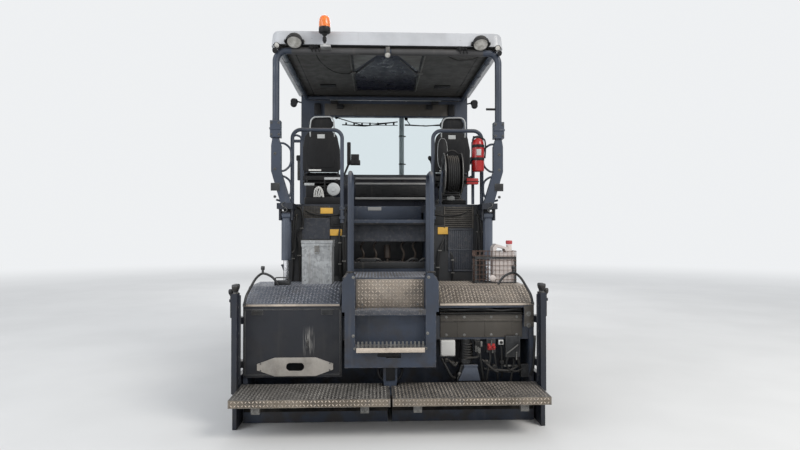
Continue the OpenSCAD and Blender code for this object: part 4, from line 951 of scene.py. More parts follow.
def beacon():
    """The orange lens with its rings, on a base and a foot on the roof's rear bar."""
    x, y = BEACON
    lens = Shape()
    lens.turned([
        (0.052, 3.7), (0.0555, 3.712), (0.057, 3.74), (0.056, 3.778), (0.051, 3.806), (0.039, 3.826), (0.018, 3.8375),
        (0, 3.8395),
    ], at((x, y, 0)), 40)
    for k in range(5):
        lens.ring(0.056 - k * 0.0002, 0.0016, at((x, y, 3.722 + k * 0.012)), 40, 6)
    piece = lens.piece("beacon_lens", "beacon_lens", "orange")
    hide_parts("beacon")
    base = Shape()
    base.turned([
        (0.022, 3.636), (0.028, 3.654), (0.052, 3.66), (0.059, 3.67), (0.059, 3.706), (0.056, 3.716), (0, 3.716),
    ], at((x, y, 0)), 36)
    base.rod((x, y, 3.53), (x, y, 3.64), 0.013, 20)
    base.turned([(0.019, 3.575), (0.021, 3.58), (0.021, 3.61), (0.016, 3.62), (0, 3.62)], at((x, y, 0)), 20)
    base.piece("beacon_base", "black_mould", "orange")
    foot = Shape()
    foot.block((x - 0.04, x + 0.062), (y - 0.029, -1.866), (3.5155, 3.5345), 0.002)
    foot.turned([(0.026, 3.529), (0.026, 3.545), (0.019, 3.552), (0, 3.552)], at((x, y, 0)), 6)
    for e in (-1, 1):
        foot.bolt((x + e * 0.022, y + 0.045, 3.5295), UP, 0.007)
    foot.piece("beacon_foot", "bright_steel", "orange")


class PAVER_OT_lamps(Operator):
    """Builds the lenses, hoods and brackets of the lamps and the beacon"""

    bl_idname = "paver.lamps"
    bl_label = "Lamps and beacon"

    def execute(self, context):
        glass, black, bright, housing, dust_and_shade_sleeve = shapes(5)
        look = Vector((0, -0.6, -0.8))
        for s in (-1, 1):
            # Work lamp in its bowl, under a cap, on a stirrup from the roof's edge
            place = Vector((s * (LAMP_X - 0.012), LAMP_FACE + 0.044, LAMP_Z - 0.026))
            turn = at(place, look)
            housing.turned([(0.022, -0.078), (0.052, -0.07), (0.074, -0.042), (0.0845, -0.006), (0.086, 0.01),
                            (0.0795, 0.012), (0.0735, 0.006), (0, 0.006)], turn, 40)
            for k in range(4):
                housing.ring(0.079 - 0.006 * k, 0.0026, at(place - look * (0.018 + 0.011 * k), look), 36, 6)
            glass.turned([(0.071, 0.007), (0.07, 0.011), (0.056, 0.018), (0.032, 0.023), (0, 0.025)], turn, 40)
            bright.ring(0.0722, 0.0024, at(place + look * 0.0105, look), 40, 6)
            cap = [
                (0.084 * math.cos(a), 0.084 * math.sin(a))
                for a in (math.radians(8 + 164 * i / 16) for i in range(17))
            ]
            cap += [
                (0.089 * math.cos(a), 0.089 * math.sin(a))
                for a in (math.radians(172 - 164 * i / 16) for i in range(17))
            ]
            tilt = math.atan2(0.8, 0.6)
            black.plate(cap, (0.0, 0.04), 0.0, at(place) @ Matrix.Rotation(math.pi / 2 + tilt, 4, "X"))
            for e in (-1, 1):
                x = place.x + e * 0.093
                black.block(about(x, 0.0035), (-1.948, -1.886), (3.572, 3.6), 0.001)
                bright.bolt((x + e * 0.0035, -1.93, 3.586), (e, 0, 0), 0.009)
            black.block(about(place.x, 0.097), (-1.8925, -1.886), (3.572, 3.6), 0.001)
            # Small lamps at the shoulders of the hoop
            lamp(glass, black, (s * 1.128, -1.902, 3.553), (s * 0.2, -0.9, -0.45), 0.03)
            lamp(black, black, (s * 1.15, -1.893, 3.5), (s * 0.5, -0.75, -0.45), 0.028)
            black.pipe([
                (s * 1.128, -1.88, 3.57), (s * 1.15, -1.865, 3.545), (s * 1.155, -1.865, 3.5),
            ], 0.02, 0.007, 8)
            black.block(between(s * 1.1, s * 1.14), (-1.875, -1.835), (3.535, 3.55), 0.002)
            # Sleeve along the hoop's top bar in a darker grey: dust, and painted shade on the bar; and clamps with
            # looms
            dust_and_shade_sleeve.rod((s * 0.03, -1.83, 3.52), (s * 0.99, -1.83, 3.52), 0.0362, 28)
            x0 = s * 0.76
            black.block(about(x0, 0.05), (-1.872, -1.862), (3.536, 3.592), 0.004)
            black.block((x0 - 0.03, x0 - 0.004), (-1.884, -1.87), (3.528, 3.636), 0.005)
            black.block((x0 + 0.012, x0 + 0.034), (-1.882, -1.87), (3.54, 3.622), 0.005)
            for k in range(3):
                xk = x0 - 0.042 + 0.036 * k
                black.curve([
                    (xk, -1.872, 3.58), (xk + 0.01, -1.892, 3.555), (xk + 0.022, -1.88, 3.52),
                    (xk + 0.03, -1.865, 3.5),
                ], 0.0055, 8, count=9)
        lamp(glass, bright, (-0.005, -1.893, 3.47), (0, -0.8, -0.6), 0.03)
        bright.block((-0.024, 0.016), (-1.878, -1.869), (3.47, 3.6), 0.001)
        bright.block((-0.022, 0.012), (-1.878, -1.83), (3.455, 3.462), 0.001)
        glass.piece("lamp_lenses", "lamp_lens", "glass")
        dust_and_shade_sleeve.piece("hoop_dust_and_shade_sleeve", "hoop_dust_and_shade", "frame")
        housing = housing.piece("work_lamp_bowls", "black_mould", "steel")
        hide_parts("work_lamps")
        black.piece("lamp_hoods", "black_mould", "steel")
        bright.piece("lamp_brackets", "dull_steel", "galv")
        beacon()
        return {"FINISHED"}


SEAT_X, SEAT_BACK_Y, SEAT_LEAN = 0.745, -1.075, 5.0


def back_turn(s):
    """Carries X across the seat, Y up its back and Z to the rear."""
    return (at((s * SEAT_X, SEAT_BACK_Y, 2.347))
            @ Matrix.Rotation(math.radians(90 + SEAT_LEAN), 4, "X"))


def seat_outline(half, low, high, corner, shoulder, steps=8):
    """Half widths narrow to the shoulders, with round corners on top."""
    points = [(-half + 0.03, low), (half - 0.03, low), (half, low + 0.03)]
    points += [(half, low + (high - low) * 0.55)]
    for i in range(steps + 1):
        a = math.pi / 2 * i / steps
        points.append((shoulder - corner + corner * math.cos(a), high - corner + corner * math.sin(a)))
    for i in range(steps + 1):
        a = math.pi / 2 + math.pi / 2 * i / steps
        points.append((-shoulder + corner + corner * math.cos(a), high - corner + corner * math.sin(a)))
    return [*points, (-half, low + (high - low) * 0.55), (-half, low + 0.03)]


def seat_pad(name, outline, thick, place, channels, cap):
    """A stuffed pad from an outline, with sewn channels pressed in."""
    form = Shape()
    form.plate(outline, thick, min(0.016, (thick[1] - thick[0]) * 0.3), place)
    piece = form.piece(name, "seat_vinyl", "seat", smooth=80)
    stuff(piece, cap)
    turn = place.inverted()
    for v in piece.data.vertices:
        local = turn @ v.co
        for axis, where in channels:
            near = abs(local[axis] - where)
            if near < 0.014:
                share = 0.5 + 0.5 * math.cos(math.pi * near / 0.014)
                side = 1 if local.z > (thick[0] + thick[1]) / 2 else -1
                local.z -= side * 0.007 * share
        v.co = place @ local
    return piece


def seat_gear(s, side):
    """The pale hoop behind a headrest, and what stands behind and beside the seat."""
    pale, dark, white = shapes(3)
    m = s * SEAT_X
    hoop = [(m - 0.12, -1.185, 2.7), (m - 0.122, -1.24, 2.83), (m - 0.112, -1.24, 2.92), (m - 0.078, -1.24, 2.957),
            (m + 0.112, -1.24, 2.962), (m + 0.146, -1.24, 2.92), (m + 0.15, -1.24, 2.83), (m + 0.15, -1.185, 2.7)]
    pale.pipe(hoop, 0.04, 0.0085, 10)
    white.block((m - 0.14, m), (-1.204, -1.188), (2.352, 2.37), 0.003)
    # Seat rail and its adjuster behind the cushion
    dark.block(about(m, 0.21), (-1.165, -1.142), (2.25, 2.3), 0.006)
    for e in (-1, 1):
        dark.rod((m + e * 0.19, -1.155, 2.21), (m + e * 0.19, -1.155, 2.4), 0.009)
    if s < 0:
        # Monitor on its arm, and the drum and pads that stand behind the seat
        dark.block((-0.459, -0.416), (-1.075, -1.035), (2.438, 2.703), 0.01)
        dark.block((-0.422, -0.306), (-1.105, -0.985), (2.442, 2.492), 0.008)
        dark.block((-0.412, -0.318), (-1.095, -1.075), (2.486, 2.56), 0.006)
        dark.rod((-0.44, -1.055, 2.45), (-0.51, -1.055, 2.275), 0.012)
        dark.block((-0.905, -0.5), (-1.43, -1.27), (1.957, 2.04), 0.01)
        dark.block((-0.893, -0.802), (-1.415, -1.37), (2.035, 2.168), 0.014)
        for x in (-0.885, -0.69, -0.515):
            dark.rod((x, -1.35, 2.03), (x, -1.35, 2.26), 0.009)
        pale.turned([
            (0.03, 0), (0.066, 0.004), (0.071, 0.012), (0.071, 0.026), (0.062, 0.032), (0.03, 0.034), (0.026, 0.04),
            (0, 0.04),
        ], at((-0.589, -1.385, 2.13), BACK), 36)
        dark.rod((-0.589, -1.388, 2.13), (-0.589, -1.34, 2.13), 0.02)
        dark.rod((-0.589, -1.345, 2.03), (-0.589, -1.345, 2.14), 0.012)
        pale.block((-0.695, -0.49), (-1.362, -1.342), (2.238, 2.266), 0.005)
        pale.block((-0.915, -0.805), (-1.362, -1.342), (2.174, 2.202), 0.005)
        dark.turned([
            (0.012, 0), (0.022, 0.012), (0.024, 0.028), (0.014, 0.04), (0, 0.042),
        ], at((-0.557, -1.352, 2.205)), 20)
        for k in range(4):
            a = 0.5 * k
            white.curve([
                (-0.8 + 0.02 * k, -1.41, 2.045), (-0.79 + 0.025 * k, -1.425, 2.12 + 0.01 * math.sin(a * 3)),
                (-0.75 + 0.01 * k, -1.42, 2.155 - 0.012 * k), (-0.715 - 0.01 * k, -1.405, 2.12 - 0.008 * k),
                (-0.7, -1.4, 2.042),
            ], 0.009, 8, count=13)
    else:
        # Folded rest with its grey rim, joystick, and a small bottle behind the reel
        oval = squared_oval((0.635, 2.553), (0.054, 0.171), (0.7, 0.8), 32)
        stand = at((0, -1.205, 0)) @ STANDING
        dark.plate(oval, (0.0, 0.03), 0.006, stand)
        pale.tube([(x, -1.222, z) for x, z in oval], 0.0055, 8, closed=True)
        dark.rod((0.64, -1.215, 2.5), (0.64, -1.16, 2.5), 0.016)
        dark.rod((0.585, -1.0, 2.3), (0.514, -1.0, 2.51), 0.008)
        dark.turned([
            (0.01, -0.03), (0.02, -0.016), (0.024, 0), (0.02, 0.018), (0.01, 0.028), (0, 0.03),
        ], at((0.512, -1.0, 2.528), (-0.3, 0, 1)), 20)
        dark.block((0.545, 0.61), (-1.05, -0.95), (2.262, 2.305), 0.01)
        white.turned([
            (0.03, 0), (0.036, 0.006), (0.036, 0.062), (0.02, 0.078), (0.014, 0.092), (0.014, 0.102), (0, 0.102),
        ], at((0.705, -1.46, 1.955)), 24)
        dark.block((0.6, 0.86), (-1.52, -1.36), (1.9552, 2.006), 0.01)
        white.block((0.655, 0.735), (-1.5, -1.45), (2.004, 2.05), 0.01)
    pale.piece(f"seat_hoop_{side}", "exhaust_steel", "seat")
    dark.piece(f"seat_gear_{side}", "black_mould", "seat")
    white.piece(f"seat_whites_{side}", "pale_plastic", "seat")


def seat_base(s, side):
    """Suspension base, bellows, armrest and the controls at its side."""
    x = s * SEAT_X
    steel, rubber = shapes(2)
    steel.block(about(x, 0.148), (-1.118, -0.762), (1.956, 2.044), 0.006)
    for e in (-1, 1):
        steel.block(about(x + e * 0.135, 0.012), (-1.112, -0.77), (2.196, 2.2155), 0.003)
        steel.rod((x + e * 0.11, -1.1, 2.05), (x + e * 0.11, -0.8, 2.2), 0.012)
        steel.rod((x + e * 0.11, -0.8, 2.05), (x + e * 0.11, -1.1, 2.2), 0.012)
    for k in range(5):
        z = 2.046 + k * 0.031
        grow = 0.008 * k
        rubber.block(
            (x - 0.105 - grow * 0.2, x + 0.105 + grow * 0.2), (-1.078 - grow, -0.802 + grow), (z, z + 0.028), 0.012,
        )
    arm = x + s * 0.265
    rubber.block(about(arm, 0.029), (-1.118, -0.802), (2.477, 2.543), 0.018, segments=4)
    steel.block(about(arm, 0.014), (-1.118, -1.052), (2.256, 2.482), 0.004)
    steel.block(between(arm, x + s * 0.226), (-1.118, -1.052), (2.257, 2.313), 0.003)
    steel.piece(f"seat_base_{side}", "dark_steel", "seat")
    rubber.piece(f"seat_bellows_{side}", "black_mould", "seat")


class PAVER_OT_seats(Operator):
    """Sews the two seats on their suspension bases"""

    bl_idname = "paver.seats"
    bl_label = "Seats"

    def execute(self, context):
        first = None
        for s, side in SIDES:
            turn = back_turn(s)
            seat_pad(f"seat_back_pad_{side}", seat_outline(0.205, 0.012, 0.455, 0.1, 0.185), (0.012, 0.07), turn,
                            [(1, 0.13), (1, 0.24), (1, 0.35)], 0.016)
            seat_pad(
                f"headrest_{side}", seat_outline(0.134, 0.498, 0.628, 0.045, 0.116), (0.026, 0.078), turn,
                [(1, 0.56)], 0.012,
            )
            flat = at((s * SEAT_X, 0, 0))
            seat = seat_pad(
                f"seat_cushion_{side}", seat_outline(0.215, -1.128, -0.692, 0.06, 0.2), (2.232, 2.333), flat,
                [(1, -1.02), (1, -0.91), (1, -0.8)], 0.014,
            )
            first = first or seat
            shell = Shape()
            shell.plate(seat_outline(0.213, 0.002, 0.468, 0.105, 0.19), (0.066, 0.1), 0.012, turn)
            shell.plate(seat_outline(0.15, 0.055, 0.4, 0.07, 0.135), (0.098, 0.1045), 0.003, turn)
            shell.plate(seat_outline(0.137, 0.494, 0.631, 0.048, 0.119), (0.072, 0.091), 0.008, turn)
            for e in (-1, 1):
                shell.rod(turn @ Vector((e * 0.07, 0.44, 0.055)), turn @ Vector((e * 0.07, 0.52, 0.055)), 0.0075, 12)
                shell.turned(
                    [(0.014, 0), (0.016, 0.006), (0.012, 0.014), (0, 0.014)],
                    turn @ at((e * 0.07, 0.466, 0.055)) @ Matrix.Rotation(-math.pi / 2, 4, "X"), 16,
                )
            shell.block(about(s * SEAT_X, 0.222), (-1.137, -0.683), (2.215, 2.238), 0.008)
            shell.piece(f"seat_shell_{side}", "black_mould", "seat")
            seat_base(s, side)
            seat_gear(s, side)
            plates = Shape()
            plates.plate([
                (-0.042, 0.385), (0.042, 0.385), (0.042, 0.43), (-0.042, 0.43),
            ], (0.099, 0.1055), 0.001, turn)
            plates.piece(f"seat_plate_{side}", "blank_label", "seat")
        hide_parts("seats")
        return {"FINISHED"}


LUG_PITCH = 0.03


def lug_field(shape, corner, across, upward, keep=None):
    """Lugs at an even pitch over a field."""
    columns = max(1, round(Vector(across).length / LUG_PITCH))
    rows = max(1, round(Vector(upward).length / LUG_PITCH))
    shape.lugs(corner, across, upward, columns, rows, keep)


def board(s, side):
    """A footboard: scuffed sheet on top, worn beige face between its folded ends, light brackets below."""
    sheet, lugs, face, foot = shapes(4, f"extension_{side}")
    low, high = (0.0105, 1.2795) if s > 0 else (-1.2795, -0.0105)
    notch = 0.072
    if s > 0:
        outline = [(low, -3.1985), (high, -3.1985), (high, -2.716), (notch, -2.716), (notch, -2.812), (low, -2.812)]
    else:
        outline = [(low, -3.1985), (high, -3.1985), (high, -2.812), (-notch, -2.812), (-notch, -2.716), (low, -2.716)]
    sheet.plate(outline, (0.3415, 0.343), 0.0)
    lug_field(
        lugs, (0.028 if s > 0 else -1.262, -3.188, 0.343), (1.234, 0, 0), (0, 0.463, 0),
        lambda p: p.y < -2.83 or abs(p.x) > 0.088,
    )
    x0 = 0.0165 if s > 0 else -1.2735
    strip = Shape(f"extension_{side}")
    strip.block((x0, x0 + 1.257), (-3.1975, -3.1965), (0.28, 0.3412), 0.0)
    strip.piece(f"board_strip_{side}", "board_face", "alloy", smooth=20)
    # Dark steel plate over the screed's rear face under the boards: painted shade there, over a black underside
    shoe = Shape(f"extension_{side}")
    shoe.block(between(s * 0.016, s * 1.268), (-2.7065, -2.7005), (0.098, 0.336), 0.002)
    for k in range(8):
        shoe.bolt((s * (0.09 + 0.156 * k), -2.7065, 0.16), BACK, 0.011)
    shoe.piece(f"screed_shoe_shade_{side}", "shoe_steel_and_shade", "steel")
    face.lugs((x0 + 0.004, -3.1975, 0.2815), (1.249, 0, 0), (0, 0, 0.059), 44, 2, None, (0.026, 0.011, 0.0022))
    for a, c in ((0.178, 0.246), (1.043, 1.112)):
        foot.block(between(s * a, s * c), (-3.15, -3.11), (0.214, 0.28), 0.004)
        for e in (-1, 1):
            foot.bolt((s * (a + c) / 2 + e * 0.018, -3.15, 0.24), BACK, 0.009)
    for k in range(9):
        foot.bolt((s * (0.3 + 0.085 * k), -3.1, 0.279), DOWN, 0.009)
    sheet.piece(f"board_sheet_{side}", "board_top", "alloy", smooth=20)
    # Lugs in the board's tone; on the right board the paler tone is painted sunlight
    lugs.piece(f"board_lugs_sun_and_shade_{side}", f"board_lugs_sun_and_shade_{side}", "alloy", smooth=20)
    face.piece(f"board_face_{side}", "worn_lugs", "alloy", smooth=20)
    foot.piece(f"board_feet_{side}", "dull_steel", "steel")


def walkway(s, side):
    """Walkway sheet over its lip, slope and flat."""
    walk, lugs, strip = shapes(3, f"extension_{side}")
    profile = [
        (-2.7005, 1.01), (-2.7035, 1.012), (-2.7035, 1.0355), (-2.4405, 1.1632), (-1.938, 1.1632), (-1.938, 1.1602),
        (-2.4398, 1.1602), (-2.7005, 1.0338),
    ]
    x0, x1 = (0.437, 1.278) if s > 0 else (-1.278, -0.437)
    corners = [(x, y, z) for x in (x0, x1) for y, z in profile]
    n = len(profile)
    faces = [tuple(range(n)), tuple(reversed(range(n, 2 * n)))] + [(
        i, i + n, (i + 1) % n + n, (i + 1) % n,
    ) for i in range(n)]
    walk.put(corners, faces)
    rise = Vector((0, 0.263, 0.1277))
    lug_field(lugs, (x0 + 0.012, -2.7, 1.0372), (0.817, 0, 0), rise * 0.985)
    kept = (lambda p: not (0.825 < p.x < 1.25 and p.y > -2.225)) if s > 0 else (
        lambda p: not (-0.84 < p.x < -0.535 and p.y > -2.23)
    )
    lug_field(lugs, (x0 + 0.012, -2.432, 1.1632), (0.817, 0, 0), (0, 0.486, 0), kept)
    strip.block((x0 + 0.004, x1 - 0.004), (-2.7065, -2.703), (1.0125, 1.03), 0.001)
    for k in range(8):
        strip.turned([(0.008, 0), (0.007, 0.003), (0, 0.004)], at((x0 + 0.05 + k * 0.106, -2.7065, 1.021), BACK), 12)
    walk.piece(f"walkway_{side}", f"walkway_chequer_{side}", "frame", smooth=20)
    lugs.piece(f"walkway_lugs_{side}", f"walkway_lugs_{side}", "frame", smooth=20)
    strip.piece(f"walkway_strip_{side}", "worn_lugs", "frame", smooth=20)


class PAVER_OT_treads(Operator):
    """Lays worn chequer plate on the boards, walkways and stair"""

    bl_idname = "paver.treads"
    bl_label = "Chequer treads"

    def execute(self, context):
        for s, side in SIDES:
            board(s, side)
            walkway(s, side)
        stair, lugs = shapes(2, "screed")
        stair.block((-0.296, 0.296), (-2.7405, -2.7365), (1.002, 1.25), 0.001)
        lug_field(lugs, (-0.288, -2.7405, 1.008), (0.576, 0, 0), (0, 0, 0.236))
        stair.piece("stair_riser", "riser_chequer", "alloy", smooth=20)
        lugs.piece("stair_riser_lugs", "riser_lugs", "alloy", smooth=20)
        treads = Shape("screed")
        lug_field(treads, (-0.4, -2.73, 1.263), (0.8, 0, 0), (0, 0.72, 0),
                   lambda p: not (min(abs(p.x + 0.345), abs(p.x - 0.355)) < 0.035 and abs(p.y + 2.44) < 0.035))
        lug_field(treads, (-0.285, -2.862, 1.0), (0.57, 0, 0), (0, 0.118, 0))
        treads.piece("stair_tread_lugs", "grey_lugs", "frame", smooth=20)
        nosing = Shape("screed")
        nosing.block((-0.3, 0.3), (-2.8735, -2.8695), (0.958, 0.999), 0.002)
        nosing.piece("stair_nosing", "tread_chequer", "frame", smooth=20)
        edge = Shape("screed")
        edge.block((-0.288, 0.288), (-2.9235, -2.918), (0.648, 0.688), 0.0015)
        teeth = Shape("screed")
        for i in range(17):
            x = -0.271 + i * 0.034
            teeth.block(about(x, 0.0072), (-2.9215, -2.907), (0.686, 0.7395), 0.001)
        edge.piece("step_edge", "worn_lugs", "frame")
        teeth.piece("step_teeth", "dull_steel", "frame")
        return {"FINISHED"}


class PAVER_OT_roof(Operator):
    """Fits the roof: hatch, struts, lining, beam cover, wipers and front lamps"""

    bl_idname = "paver.roof"
    bl_label = "Roof fittings"

    def execute(self, context):
        trim, steel, pale, grey, glossy, beam = shapes(6)
        # Hatch: dark pane, rim, gas struts, corner flaps and round bosses
        glossy.block((-0.383, 0.383), (-1.753, -0.042), (3.562, 3.568), 0.002)
        for x in (-0.385, 0.385):
            trim.block(about(x, 0.009), (-1.775, -0.02), (3.552, 3.561), 0.002)
        for y in (-1.765, -0.03):
            trim.block((-0.385, 0.385), about(y, 0.009), (3.552, 3.561), 0.002)
        for s in (-1, 1):
            flap = [(s * 0.372, -1.745), (s * 0.372, -1.02), (s * 0.1, -1.62), (s * 0.06, -1.745)]
            grey.plate(flap if s > 0 else flap[::-1], (3.5575, 3.5615), 0.001)
            grey.turned([
                (0.032, 0), (0.036, 0.005), (0.031, 0.014), (0.012, 0.018), (0, 0.018),
            ], at((s * 0.402, -0.92, 3.557), DOWN), 24)
            steel.rod((s * 0.36, -0.9, 3.552), (s * 0.22, -1.25, 3.552), 0.008)
            steel.rod((s * 0.22, -1.25, 3.552), (s * 0.14, -1.44, 3.552), 0.005, 12)
        # Moulded ribs and screws of the lining
        for x in (-0.98, 0.98):
            trim.block(about(x, 0.005), (-1.74, 0.2), (3.554, 3.559), 0.002)
        for s in (-1, 1):
            grey.block(between(s * 0.398, s * 0.414), (-1.76, 0.0), (3.553, 3.558), 0.002)
            for x in (0.43, 0.76, 1.09):
                for y in (-1.72, -1.2, -0.7, -0.2, 0.18):
                    steel.turned([(0.008, 0), (0.008, 0.002), (0, 0.004)], at((s * x, y, 3.557), DOWN), 12)
        # Cover of the front beam, pale strip over it, dark infill, motor boxes and clamps
        beam.block((-0.835, 0.885), (0.2585, 0.2695), (3.279, 3.443), 0.003)
        for k in range(6):
            x = -0.76 + k * 0.31
            for z in (3.3, 3.425):
                steel.bolt((x, 0.2585, z), BACK, 0.006)
        for x in (-0.4, 0.0, 0.42):
            beam.block(about(x, 0.004), (0.256, 0.259), (3.282, 3.44), 0.001)
        beam.block((-1.04, 1.04), (0.272, 0.286), (3.488, 3.557), 0.002)
        pale.block((-0.76, 0.785), (0.2375, 0.243), (3.4845, 3.499), 0.001)
        for x in (-0.7, -0.2, 0.3, 0.72):
            pale.block(about(x, 0.012), (0.2425, 0.2725), (3.486, 3.492), 0.001)
        for s in (-1, 1):
            trim.block(about(s * 0.74, 0.1), (-0.36, -0.24), (3.538, 3.559), 0.008)
            trim.block(about(s * 0.93, 0.045), (0.225, 0.27), (3.285, 3.44), 0.01)
            trim.block(about(s * 0.62, 0.045), (0.215, 0.2585), (3.372, 3.43), 0.008)
            trim.block(about(s * 0.7, 0.05), (0.215, 0.2585), (3.445, 3.48), 0.006)
        for y in (-1.5, -1.0, -0.5, 0.0):
            for s in (-1, 1):
                steel.ring(0.03, 0.004, at((s * 1.09, y, 3.52), AHEAD), 20, 6)
                steel.block(about(s * 1.09, 0.012), about(y, 0.012), (3.546, 3.5575), 0.001)
        # Seal round the roof's edge, and its lifting eyes
        trim.block((-1.17, 1.17), (-1.879, -1.868), (3.559, 3.572), 0.003)
        for s in (-1, 1):
            for y in (-1.45, 0.0):
                steel.ring(0.022, 0.007, at((s * 0.95, y, 3.735)) @ STANDING, 20, 8)
                steel.turned([(0.026, 3.7185), (0.026, 3.724), (0.018, 3.728), (0, 3.728)], at((s * 0.95, y, 0)), 20)
        # Wipers in front of the windshield
        for x, z in ((-0.675, 3.264), (0.302, 3.25)):
            trim.turned([(0.022, 0), (0.024, 0.012), (0.018, 0.035), (0, 0.035)], at((x, 0.312, z), AHEAD), 20)
        for points, thick in (
            ([(-0.675, 3.264), (-0.277, 3.147)], 0.007), ([(-0.596, 3.165), (-0.277, 3.147), (0.182, 3.211)], 0.008),
            ([(-0.437, 3.196), (-0.1, 3.186), (0.182, 3.21)], 0.005),
            ([(0.302, 3.25), (0.362, 3.16), (0.583, 3.154)], 0.006),
            ([(0.282, 3.171), (0.583, 3.154), (0.805, 3.176)], 0.008),
        ):
            trim.pipe([(x, 0.335, z) for x, z in points], 0.03, thick, 8)
        for x0, z0, x1, z1 in ((-0.596, 3.165, 0.182, 3.195), (0.282, 3.165, 0.805, 3.165)):
            trim.block((x0, x1), (0.3145, 0.325), (min(z0, z1) - 0.012, min(z0, z1) - 0.004), 0.001)
            for k in range(7):
                x = x0 + (x1 - x0) * (k + 0.5) / 7
                trim.block(about(x, 0.012), (0.32, 0.338), (min(z0, z1) - 0.006, max(z0, z1)), 0.002)
        # Lamps on the front posts
        for s in (-1, 1):
            steel.rod((s * 1.15, 0.3, 3.46), (s * 1.235, 0.26, 3.475), 0.01)
            trim.turned(
                [(0.022, -0.05), (0.044, -0.032), (0.05, 0), (0.05, 0.012), (0.045, 0.012), (0, 0.006)],
                at((s * 1.255, 0.25, 3.462), (s * 0.4, -0.8, -0.35)), 28,
            )
            trim.turned(
                [(0.022, -0.046), (0.04, -0.03), (0.046, 0), (0.046, 0.012), (0.041, 0.012), (0, 0.006)],
                at((s * 1.272, 0.34, 3.452), (s * 0.25, 0.95, -0.2)), 28,
            )
        # Curtain rod on the right post
        trim.rod((1.02, -1.83, 2.935), (1.115, -1.83, 2.935), 0.012)
        trim.piece("roof_trim", "black_mould", "lining")
        glossy.piece("hatch_pane", "dark_glass", "lining")
        grey.piece("hatch_flaps", "lining_grey", "lining")
        beam.piece("front_beam_cover", "beam_paint", "frame")
        pale.piece("front_beam_strip", "exhaust_steel", "galv")
        steel.piece("roof_fasteners", "dark_steel", "steel")
        # Rivets along the rear and the front edge of the shell
        rivets = Shape()
        for y in (-1.885, 0.455):
            for k in range(15):
                x = -1.05 + k * 0.15
                rivets.turned(
                    [(0.006, 0), (0.0055, 0.002), (0, 0.003)], at((x, y, 3.585), AHEAD if y > 0 else BACK), 10,
                )
        rivets.piece("roof_rivets", "roof_gel_coat", "white")
        return {"FINISHED"}


CABINET_REAR, POST_X = -1.6205, 1.147
EXTINGUISHER = (0.945, -1.775)


def crossed_bars(shape, x, z, pitch, thick, y=(CABINET_REAR - 0.004, CABINET_REAR)):
    """Thin crossed bars on the rear of a cabinet."""
    for low, high, upright in ((*x, True), (*z, False)):
        count = round((high - low) / pitch)
        for i in range(count + 1):
            bar = about(low + (high - low) * i / count, thick / 2)
            if upright:
                shape.block(bar, y, z)
            else:
                shape.block(x, (y[0] + 0.0003, y[1] - 0.0002), bar)


